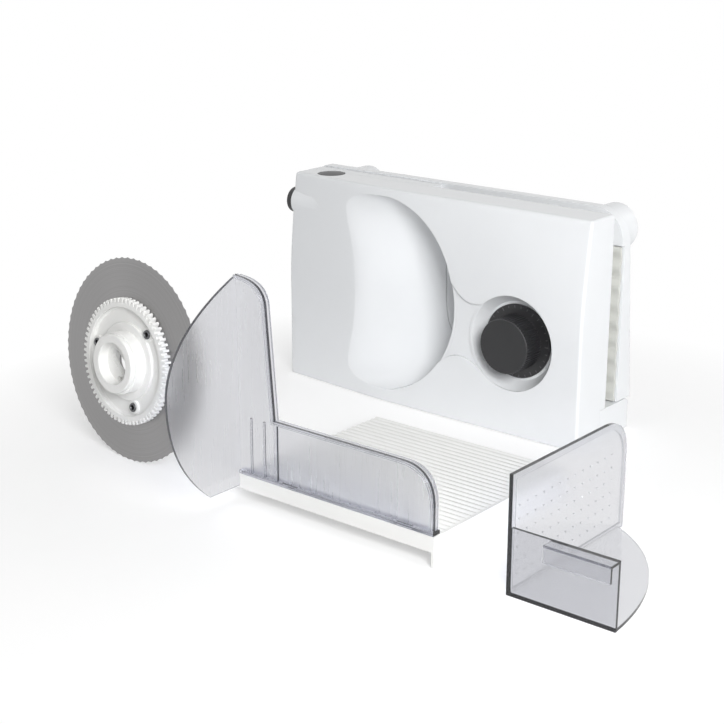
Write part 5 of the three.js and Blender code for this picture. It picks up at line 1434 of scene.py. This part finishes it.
def remnant_holder():
    """The remnant holder: a spiked plate, a side wall with a hook, and a floor with a round edge."""
    right = HOLDER_LEFT + PLATE_THICKNESS
    back = HOLDER_FRONT + PLATE_LENGTH

    def plate_outline(inset):
        top = PLATE_HEIGHT - inset
        corner = PLATE_CORNER - inset / 2
        outline = [(HOLDER_FRONT + inset, inset), (back - inset, inset), (back - inset, top - corner)]
        outline += bend(outline[-1], (back - inset, top), (back - inset - corner, top))
        outline.append((HOLDER_FRONT + inset, top))
        return outline

    plate = cut(
        slab("remnant_holder_shell", "x", plate_outline(0), HOLDER_LEFT, right),
        slab("recess", "x", plate_outline(PLATE_RIM), right - PLATE_RIM_STEP, right + OVERRUN),
    )
    far = HOLDER_LEFT + WALL_LENGTH
    wall_back = HOLDER_FRONT + WALL_THICKNESS
    side_wall = box("side wall", HOLDER_LEFT, far, HOLDER_FRONT, wall_back, 0, WALL_HEIGHT)
    floor_end = HOLDER_FRONT + FLOOR_LENGTH
    start = (far, HOLDER_FRONT)
    near_handle = (far - FLOOR_EDGE_NEAR[0], HOLDER_FRONT + FLOOR_EDGE_NEAR[1])
    far_handle = (HOLDER_LEFT + FLOOR_EDGE_FAR[0], floor_end - FLOOR_EDGE_FAR[1])
    end = (HOLDER_LEFT, floor_end)
    outline = [(HOLDER_LEFT, HOLDER_FRONT), start]
    for k in range(1, FLOOR_EDGE_STEPS + 1):
        t = k / FLOOR_EDGE_STEPS
        outline.append(tuple(
            (1 - t) ** 3 * a + 3 * t * (1 - t) ** 2 * b + 3 * t ** 2 * (1 - t) * c + t ** 3 * d
            for a, b, c, d in zip(start, near_handle, far_handle, end)
        ))
    floor = slab("floor", "z", outline, 0, FLOOR_THICKNESS)
    hook_front = HOLDER_FRONT - HOOK_REACH
    hook = cut(
        box("hook", HOLDER_LEFT + HOOK_FROM, far, hook_front, HOLDER_FRONT + GAP,
            WALL_HEIGHT - HOOK_DROP, WALL_HEIGHT),
        box("hook inside", HOLDER_LEFT, far + OVERRUN, hook_front + HOOK_WALL, HOLDER_FRONT,
            -OVERRUN, WALL_HEIGHT - HOOK_WALL),
    )
    spikes = []
    spike_foot = HOLDER_LEFT + GAP
    profile = [(0, spike_foot), (SPIKE_RADIUS, spike_foot), (0, HOLDER_LEFT - SPIKE_LENGTH)]
    rows = int((PLATE_HEIGHT - 2 * SPIKE_MARGIN + SPIKE_PITCH / 2) / SPIKE_PITCH)
    columns = int((PLATE_LENGTH - 2 * SPIKE_MARGIN) / SPIKE_PITCH) + 1
    for row in range(rows):
        for column in range(columns):
            at = (HOLDER_FRONT + SPIKE_MARGIN + column * SPIKE_PITCH, SPIKE_MARGIN + row * SPIKE_PITCH)
            spikes.append(turned("spike", "x", profile, at, SPIKE_SIDES))
    body = join(plate, side_wall, floor, hook, *spikes)

    def is_panel(centre, normal):
        inside = HOLDER_FRONT + PLATE_RIM < centre.y < back - PLATE_RIM and centre.z > HOLDER_ETCH_START
        on_plate = flat_at(normal.x, centre.x - right) and inside
        on_wall = flat_at(normal.y, abs(centre.y - HOLDER_FRONT) - WALL_THICKNESS)
        on_floor = flat_at(normal.z, centre.z - FLOOR_THICKNESS)
        return on_plate or on_wall or on_floor

    mark_panels(body, is_panel, HOLDER_ETCH)
    return body


# Blade, gear and rivets. They are drawn lying flat, and their Z axis is the blade's own axis.

def stand_blade(piece):
    """Stand a piece drawn round the blade's axis on the blade's edge, leaning back."""
    lean = Matrix.Rotation(math.radians(-BLADE_TILT), 4, "X")
    yaw = Matrix.Rotation(math.radians(BLADE_YAW), 4, "Z")
    raise_face = Matrix.Rotation(math.radians(90), 4, "X")
    piece.matrix_world = Matrix.Translation(Vector(BLADE_STAND) * MM) @ yaw @ lean @ raise_face
    return piece


def blade_disc():
    """The blade: a steel disc with a wavy ground edge."""
    settings = bpy.context.scene.slicer.blade
    waves = settings.scallops
    depth = settings.scallop_depth / MM
    steps = waves * SCALLOP_STEPS
    half = BLADE_THICKNESS / 2

    def ring(radius, height, scalloped=0.0):
        spots = []
        for k in range(steps):
            angle = 2 * math.pi * k / steps
            at = radius - scalloped * depth * abs(math.sin(waves * angle / 2))
            spots.append((at * math.cos(angle), at * math.sin(angle), height))
        return spots

    ground = BLADE_RADIUS - GROUND_WIDTH
    rings = [
        ring(HUB_BORE, -half), ring(ground, -half), ring(BLADE_RADIUS, -half, 1.0),
        ring(BLADE_RADIUS, -half + EDGE_THICKNESS, 1.0), ring(ground, half), ring(HUB_BORE, half),
    ]
    return stand_blade(loft("blade_steel_disc", rings, closed=True))


def tooth_outline(tip, root, flank_share=0.16, tip_share=0.18):
    """Outline of straight-flanked gear teeth."""
    corners = (
        (-tip_share, tip), (tip_share, tip), (tip_share + flank_share, root),
        (1 - tip_share - flank_share, root),
    )
    outline = []
    for tooth in range(GEAR_TEETH):
        for share, radius in corners:
            angle = 2 * math.pi * (tooth + share) / GEAR_TEETH
            outline.append((radius * math.cos(angle), radius * math.sin(angle)))
    return outline


def rivet_place(number):
    """Where a rivet's axis crosses the blade."""
    angle = (number / RIVETS + RIVET_TURN_SHARE) * 2 * math.pi
    return (RIVET_CIRCLE * math.cos(angle), RIVET_CIRCLE * math.sin(angle))


def rounded_steps(steps, fillet):
    """A stepped profile of radius and height, with each outer corner eased by the fillet."""
    profile = []
    for radius, low, high in steps:
        profile.append((radius, low))
        profile += arc((radius - fillet, high - fillet), fillet, 0, 90, FILLET_STEPS)
    return profile


def blade_gear():
    """The blade's gear and hub, moulded in one, with three rivet bosses and a bayonet nose."""
    pitch_radius = GEAR_MODULE * GEAR_TEETH / 2
    tip, root = pitch_radius + GEAR_MODULE, pitch_radius - GEAR_TOOTH_DEPTH
    back = BLADE_THICKNESS / 2 + GAP
    rings = []
    for height, ease in ((back, 0), (GEAR_DEPTH - GEAR_CHAMFER, 0), (GEAR_DEPTH, GEAR_CHAMFER)):
        rings.append([(x, y, height) for x, y in tooth_outline(tip - ease, root - ease)])
    inside = pitch_radius - GEAR_RIM_WIDTH
    mouth = inside + GEAR_RIM_CHAMFER
    gear = cut(
        loft("blade_gear_moulding", rings),
        turned("gear hollow", "z", [
            (0, GEAR_WEB_DEPTH), (inside - GEAR_FILLET, GEAR_WEB_DEPTH),
            (inside, GEAR_WEB_DEPTH + GEAR_FILLET), (inside, GEAR_DEPTH - GEAR_RIM_CHAMFER),
            (mouth, GEAR_DEPTH + GAP), (mouth, GEAR_DEPTH + OVERRUN), (0, GEAR_DEPTH + OVERRUN),
        ], (0, 0), FINE * 2),
    )
    hub_steps = [
        (HUB_BOSS_RADIUS, back + GAP, HUB_BOSS_DEPTH),
        (HUB_NECK_RADIUS, HUB_BOSS_DEPTH, HUB_NECK_DEPTH),
        (HUB_NOSE_RADIUS, HUB_NECK_DEPTH, HUB_NOSE_DEPTH),
    ]
    hub_profile = [(0, back), *rounded_steps(hub_steps, HUB_ROUND), (0, HUB_NOSE_DEPTH)]
    hub = turned("hub", "z", hub_profile, (0, 0), FINE * 2)
    boss_steps = [(RIVET_BOSS_RADIUS, back, RIVET_BOSS_DEPTH)]
    boss_profile = [(0, back), *rounded_steps(boss_steps, RIVET_BOSS_ROUND), (0, RIVET_BOSS_DEPTH)]
    places = [rivet_place(number) for number in range(RIVETS)]
    body = join(gear, hub, *[turned("boss", "z", boss_profile, place) for place in places])
    bores = [
        rod("rivet bore", "z", RIVET_RADIUS + GAP, -OVERRUN, GEAR_DEPTH + OVERRUN, place)
        for place in places
    ]
    floor = HUB_NOSE_DEPTH - HUB_RECESS_DEPTH
    above = HUB_NOSE_DEPTH + OVERRUN
    recess = turned("hub recess", "z", [
        (0, floor), (HUB_RECESS_RADIUS - HUB_ROUND, floor), (HUB_RECESS_RADIUS, floor + HUB_ROUND),
        (HUB_RECESS_RADIUS, HUB_NOSE_DEPTH - HUB_RECESS_CHAMFER),
        (HUB_RECESS_RADIUS + HUB_ROUND, HUB_NOSE_DEPTH + GAP), (HUB_RECESS_RADIUS + HUB_ROUND, above),
        (0, above),
    ], (0, 0), FINE)
    plate_back = floor - HUB_PLATE
    through = [
        slab("bayonet opening", "z", bayonet_opening(), plate_back - OVERRUN, floor + OVERRUN),
        slab("bayonet track", "z", bayonet_track(), plate_back + TRACK_FLOOR, floor + OVERRUN),
    ]
    bore = rod("hub bore", "z", HUB_BORE, -OVERRUN, plate_back, (0, 0), FINE)
    return stand_blade(cut(body, recess, bore, *through, *bores))


def bayonet_opening():
    """The long round-ended opening across the hub's plate, which the spindle's cross piece enters."""
    half = HUB_SLOT_WIDTH / 2
    straight = HUB_SLOT_LENGTH / 2 - half
    outline = arc((straight, 0), half, -90, 90, TRACK_STEPS)
    outline += arc((-straight, 0), half, 90, 270, TRACK_STEPS)
    turn = math.radians(HUB_SLOT_TURN)
    return [
        (x * math.cos(turn) - y * math.sin(turn), x * math.sin(turn) + y * math.cos(turn))
        for x, y in outline
    ]


def bayonet_track():
    """The curved track in the plate that the cross piece turns along."""
    outer = HUB_RECESS_RADIUS - TRACK_INSET
    outline = arc((0, 0), outer, TRACK_START, TRACK_END, TRACK_STEPS)
    return outline + arc((0, 0), outer - TRACK_WIDTH, TRACK_END, TRACK_START, TRACK_STEPS)


def rivet(number):
    """A hollow rivet through the blade and gear, rolled over at both ends."""
    front = RIVET_BOSS_DEPTH + GAP
    back = -BLADE_THICKNESS / 2 - GAP
    roll = RIVET_HEAD_DEPTH * RIVET_ROLL_SHARE
    middle = (RIVET_BORE + RIVET_HEAD_RADIUS) / 2
    half = (RIVET_HEAD_RADIUS - RIVET_BORE) / 2
    rolled = []
    for k in range(ROLL_STEPS + 1):
        angle = k / ROLL_STEPS * math.pi
        depth = roll + (RIVET_HEAD_DEPTH - roll) * math.sin(angle)
        rolled.append((middle - half * math.cos(angle), depth))
    profile = [(RIVET_BORE, back - roll), *[(radius, back - depth) for radius, depth in rolled]]
    profile += [(RIVET_HEAD_RADIUS, back), (RIVET_RADIUS, back)]
    profile += [(RIVET_RADIUS, front), (RIVET_HEAD_RADIUS, front)]
    profile += [(radius, front + depth) for radius, depth in reversed(rolled)]
    profile.append((RIVET_BORE, front + roll))
    return stand_blade(turned(f"rivet_{number + 1}", "z", profile, rivet_place(number), RIVET_SIDES))


# Settings

class SlicerColours(bpy.types.PropertyGroup):
    shell: FloatVectorProperty(
        name="Shell white", description="Polished ABS of the housing and base", subtype="COLOR",
        default=linear("#E9EBED"), min=0, max=1)
    satin: FloatVectorProperty(
        name="Satin white", description="Satin plastic of the carriage and gear", subtype="COLOR",
        default=linear("#EAEAE8"), min=0, max=1)
    black: FloatVectorProperty(
        name="Black", description="Textured plastic of the knob and buttons", subtype="COLOR",
        default=linear("#262628"), min=0, max=1)
    clear: FloatVectorProperty(
        name="Smoke blue", description="Tint of light that has passed through the clear plastic",
        subtype="COLOR", default=linear("#9EA1B1"), min=0, max=1)
    blade: FloatVectorProperty(
        name="Blade steel", description="Ground stainless steel of the blade", subtype="COLOR",
        default=linear("#9A9999"), min=0, max=1)
    bright: FloatVectorProperty(
        name="Bright steel", description="Plated steel of the screws, pins and shafts",
        subtype="COLOR", default=linear("#B8BABD"), min=0, max=1)
    rubber: FloatVectorProperty(
        name="Rubber", description="Rubber of the feet and the cord gland", subtype="COLOR",
        default=linear("#55565A"), min=0, max=1)


class SlicerShell(bpy.types.PropertyGroup):
    bowl_depth: FloatProperty(
        name="Bowl depth", description="How far the slice bowl falls at its right edge",
        default=55 * MM, min=20 * MM, max=60 * MM, unit="LENGTH")
    bowl_lip: FloatProperty(
        name="Bowl lip", description="How softly the bowl starts: less gives a softer left edge",
        default=0.15 * MM, min=0.05 * MM, max=1 * MM, unit="LENGTH")


class SlicerKnob(bpy.types.PropertyGroup):
    ribs: IntProperty(name="Ribs", description="Grip ribs round the knob", default=60, min=12, max=90)
    rib_depth: FloatProperty(
        name="Rib depth", description="Depth of the grooves between the ribs",
        default=0.6 * MM, min=0.1 * MM, max=2 * MM, unit="LENGTH")


class SlicerCarriage(bpy.types.PropertyGroup):
    ribs: IntProperty(name="Ribs", description="Ribs on the carriage deck", default=25, min=5, max=50)
    rib_height: FloatProperty(
        name="Rib height", description="Height of the ribs on the deck",
        default=1 * MM, min=0.2 * MM, max=2 * MM, unit="LENGTH")


class SlicerClear(bpy.types.PropertyGroup):
    density: FloatProperty(
        name="Density", description="How strongly the clear plastic takes up light, per metre",
        default=135, min=0, max=500)
    frost: FloatProperty(
        name="Frost", description="How far the etched panels blur what is behind them",
        default=0.28, min=0, max=1, subtype="FACTOR")


class SlicerBlade(bpy.types.PropertyGroup):
    scallops: IntProperty(
        name="Waves", description="Waves round the blade's edge", default=72, min=20, max=200)
    scallop_depth: FloatProperty(
        name="Wave depth", description="Depth of the waves",
        default=0.9 * MM, min=0.1 * MM, max=2 * MM, unit="LENGTH")
    ring_pitch: FloatProperty(
        name="Grinding pitch", description="Distance between the grinding rings that show",
        default=1.1 * MM, min=0.1 * MM, max=5 * MM, unit="LENGTH")


class SlicerStudio(bpy.types.PropertyGroup):
    key: FloatProperty(
        name="Key light", description="Power of the large lamp at the front right", default=23.5, min=0,
        unit="POWER")
    fill: FloatProperty(
        name="Fill light", description="Power of the lamp at the front left", default=1, min=0,
        unit="POWER")
    top: FloatProperty(
        name="Top light", description="Power of the lamp overhead", default=4.6, min=0, unit="POWER")
    back: FloatProperty(
        name="Back light", description="Power of the low lamp behind the slicer", default=13, min=0,
        unit="POWER")
    sky: FloatProperty(
        name="Room light", description="Plain light from all round", default=0.18, min=0, max=2)
    shadow: FloatProperty(
        name="Floor shadow", description="How much of the floor's shading the camera sees",
        default=0.7, min=0, max=1, subtype="FACTOR")


class SlicerSettings(bpy.types.PropertyGroup):
    colours: PointerProperty(type=SlicerColours)
    shell: PointerProperty(type=SlicerShell)
    knob: PointerProperty(type=SlicerKnob)
    carriage: PointerProperty(type=SlicerCarriage)
    clear: PointerProperty(type=SlicerClear)
    blade: PointerProperty(type=SlicerBlade)
    studio: PointerProperty(type=SlicerStudio)


# Operators, one for each piece or group of like pieces

class SLICER_OT_shells(bpy.types.Operator):
    """Build the two glossy shells of the housing"""
    bl_idname = "slicer.shells"
    bl_label = "Housing Shells"

    def execute(self, context):
        gloss = finishes()["white_shell"]
        finish_piece(front_shell(), gloss, "housing", ["front_shell"])
        finish_piece(rear_shell(), gloss, "housing", ["rear_shell"])
        return {"FINISHED"}


class SLICER_OT_knob(bpy.types.Operator):
    """Build the thickness knob and the marks on its dial"""
    bl_idname = "slicer.knob"
    bl_label = "Thickness Knob"

    def execute(self, context):
        black = finishes()["black_plastic"]
        finish_piece(knob(), black, "knob", ["thickness_knob"])
        marks = smooth(dial_marks())
        # Pad-printed ink: a flat mid grey, a shade lighter than the dial
        marks.data.materials.append(moulded_plastic(
            "pad_printed_grey_ink", linear("#5E5E61"), roughness=0.5, ior=1.5, grain=0.5,
            grain_depth=0.005, flow_shade=0.05))
        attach(marks, "knob")
        return {"FINISHED"}


class SLICER_OT_buttons(bpy.types.Operator):
    """Build the switch button, the lock button and the cord gland"""
    bl_idname = "slicer.buttons"
    bl_label = "Buttons and Gland"

    def execute(self, context):
        made = finishes()
        finish_piece(top_button(), made["black_plastic"], "on_button", ["top_button"])
        finish_piece(side_button(), made["black_plastic"], "lock_button", ["side_button"])
        finish_piece(cord_gland(), made["dark_rubber"], "housing", ["cord_gland"])
        return {"FINISHED"}


class SLICER_OT_base(bpy.types.Operator):
    """Build the folded base and the corrugated stop plate"""
    bl_idname = "slicer.base"
    bl_label = "Base and Stop Plate"

    def execute(self, context):
        made = finishes()
        finish_piece(base_tray(), made["white_shell"], "base", ["base_tray"])
        # The stop plate takes the greyed white: painted shade for its slot behind the housing
        finish_piece(stop_plate(), made["stop_shaded_satin"], "stop", ["stop_plate"])
        return {"FINISHED"}


class SLICER_OT_carriage(bpy.types.Operator):
    """Build the ribbed carriage"""
    bl_idname = "slicer.carriage"
    bl_label = "Carriage"

    def execute(self, context):
        finish_piece(carriage(), finishes()["white_satin"], "carriage", ["carriage_plate"])
        return {"FINISHED"}


class SLICER_OT_clear(bpy.types.Operator):
    """Build the clear guard and remnant holder"""
    bl_idname = "slicer.clear"
    bl_label = "Clear Pieces"

    def execute(self, context):
        clear = finishes()["clear_plastic"]
        finish_piece(guard(), clear, "carriage", ["guard"])
        finish_piece(remnant_holder(), clear, "holder", ["remnant_holder"])
        return {"FINISHED"}


class SLICER_OT_blade(bpy.types.Operator):
    """Build the blade with its gear, hub and rivets"""
    bl_idname = "slicer.blade"
    bl_label = "Blade"

    def execute(self, context):
        made = finishes()
        finish_piece(blade_disc(), made["blade_steel"], "blade", ["blade_disc"], angle=50)
        finish_piece(blade_gear(), made["white_satin"], "blade", ["blade_gear"])
        for number in range(RIVETS):
            nodes = [f"blade_rivet_{number + 1}"]
            finish_piece(rivet(number), made["rivet_steel"], "blade", nodes)
        return {"FINISHED"}


class SLICER_OT_inner(bpy.types.Operator):
    """Give each node that is kept from the frame its finish"""
    bl_idname = "slicer.inner"
    bl_label = "Kept Nodes"

    def execute(self, context):
        made = finishes()
        slots = {row["node"]: row["material_slot"] for row in frame["record"]["subparts"]}
        for name, node in frame["nodes"].items():
            node.data.materials.clear()
            node.data.materials.append(made[slots[name]])
        return {"FINISHED"}


class SLICER_OT_studio(bpy.types.Operator):
    """Build the floor, lamps, room light and camera"""
    bl_idname = "slicer.studio"
    bl_label = "Studio"

    def execute(self, context):
        settings = context.scene.slicer.studio
        floor_piece(settings)
        for name, power, place, target, size in LAMPS:
            lamp(name, place, target, size, getattr(settings, power))
        room_light(context.scene, settings)
        view = bpy.data.cameras.new("camera")
        view.lens = CAMERA_LENS
        view.sensor_width = SENSOR
        camera = bpy.data.objects.new("camera", view)
        camera.location = Vector(CAMERA_PLACE) * MM
        camera.rotation_euler = (math.radians(90 - CAMERA_PITCH), 0, math.radians(CAMERA_AZIMUTH))
        context.scene.collection.objects.link(camera)
        context.scene.camera = camera
        context.scene.view_settings.view_transform = "Standard"
        return {"FINISHED"}


def lamp(name, place, target, size, power):
    """A square soft lamp that faces its target."""
    light = bpy.data.lights.new(name, "AREA")
    light.size = size
    light.energy = power
    carrier = bpy.data.objects.new(name, light)
    carrier.location = place
    carrier.rotation_euler = (Vector(target) - Vector(place)).to_track_quat("-Z", "Y").to_euler()
    bpy.context.scene.collection.objects.link(carrier)


def floor_piece(settings):
    """A plain pale floor. The camera sees it mostly white, with the object's shadow."""
    mesh = bpy.data.meshes.new("floor")
    corners = [(x * PAPER_REACH, y * PAPER_REACH, 0) for x, y in ((-1, -1), (1, -1), (1, 1), (-1, 1))]
    mesh.from_pydata(corners, [], [(0, 1, 2, 3)])
    floor = bpy.data.objects.new("floor", mesh)
    floor.location.z = -PAPER_DROP
    bpy.context.scene.collection.objects.link(floor)
    material, tree, output = new_material("matt_white_paper")
    pale = add_node(tree, "ShaderNodeBsdfDiffuse", inputs={"Color": (*linear("#F4F4F4"), 1)})
    # Seen straight on, the lit paper is a little over-exposed, and only its shadows show
    glow = add_node(tree, "ShaderNodeEmission", inputs={"Color": WHITE, "Strength": PAPER_GLOW})
    lifted = add_node(
        tree, "ShaderNodeAddShader", links={0: pale.outputs["BSDF"], 1: glow.outputs["Emission"]},
    )
    white = add_node(tree, "ShaderNodeEmission", inputs={"Color": WHITE, "Strength": 1})
    place = add_node(tree, "ShaderNodeTexCoord").outputs["Object"]
    away = add_node(
        tree, "ShaderNodeVectorMath", settings={"operation": "DISTANCE"},
        inputs={1: PAPER_MIDDLE}, links={0: place},
    )
    fade = spread(tree, away.outputs["Value"], PAPER_FADE, (1 - settings.shadow, 1))
    light = add_node(tree, "ShaderNodeLightPath")
    seen = larger(tree, light.outputs["Is Camera Ray"], light.outputs["Is Transmission Ray"])
    paper = blend(tree, seen, pale.outputs["BSDF"], lifted.outputs["Shader"])
    distant = add_node(
        tree, "ShaderNodeMath", settings={"operation": "MULTIPLY"}, links={0: seen, 1: fade},
    )
    share = larger(tree, distant.outputs["Value"], light.outputs["Is Glossy Ray"])
    tree.links.new(blend(tree, share, paper, white.outputs["Emission"]), output.inputs["Surface"])
    mesh.materials.append(material)


def room_light(scene, settings):
    """Plain light from all round, which the camera, mirrors and glass see as white."""
    world = bpy.data.worlds.new("room")
    scene.world = world
    world.use_nodes = True
    tree = world.node_tree
    tree.nodes.clear()
    output = add_node(tree, "ShaderNodeOutputWorld")
    light = add_node(tree, "ShaderNodeLightPath")
    seen = larger(tree, light.outputs["Is Camera Ray"], light.outputs["Is Transmission Ray"])
    seen_or_mirrored = larger(tree, seen, light.outputs["Is Glossy Ray"])
    plain = add_node(tree, "ShaderNodeBackground", inputs={"Color": WHITE, "Strength": settings.sky})
    white = add_node(tree, "ShaderNodeBackground", inputs={"Color": WHITE, "Strength": 1})
    surface = blend(tree, seen_or_mirrored, plain.outputs["Background"], white.outputs["Background"])
    tree.links.new(surface, output.inputs["Surface"])


class SLICER_PT_builder(bpy.types.Panel):
    """Lists the operators and the settings"""
    bl_idname = "SLICER_PT_builder"
    bl_label = "Folding Slicer"
    bl_space_type = "VIEW_3D"
    bl_region_type = "UI"
    bl_category = "Slicer"

    def draw(self, context):
        for operator in OPERATORS:
            self.layout.operator(operator.bl_idname)
        for group in context.scene.slicer.bl_rna.properties:
            if group.type != "POINTER" or group.identifier == "rna_type":
                continue
            panel = self.layout.box()
            panel.label(text=group.identifier.title())
            settings = getattr(context.scene.slicer, group.identifier)
            for value in settings.bl_rna.properties:
                if value.identifier not in {"rna_type", "name"}:
                    panel.prop(settings, value.identifier)


OPERATORS = (
    SLICER_OT_shells, SLICER_OT_knob, SLICER_OT_buttons, SLICER_OT_base, SLICER_OT_carriage,
    SLICER_OT_clear, SLICER_OT_blade, SLICER_OT_inner, SLICER_OT_studio,
)
GROUPS = (
    SlicerColours, SlicerShell, SlicerKnob, SlicerCarriage, SlicerClear, SlicerBlade, SlicerStudio,
    SlicerSettings,
)


def register():
    for kind in GROUPS + OPERATORS + (SLICER_PT_builder,):
        bpy.utils.register_class(kind)
    bpy.types.Scene.slicer = PointerProperty(type=SlicerSettings)


def unregister():
    del bpy.types.Scene.slicer
    for kind in reversed(GROUPS + OPERATORS + (SLICER_PT_builder,)):
        bpy.utils.unregister_class(kind)


def main():
    register()
    bpy.ops.slicer.shells()
    bpy.ops.slicer.knob()
    bpy.ops.slicer.buttons()
    bpy.ops.slicer.base()
    bpy.ops.slicer.carriage()
    bpy.ops.slicer.clear()
    bpy.ops.slicer.blade()
    bpy.ops.slicer.inner()
    bpy.ops.slicer.studio()


if __name__ == "__main__":
    main()
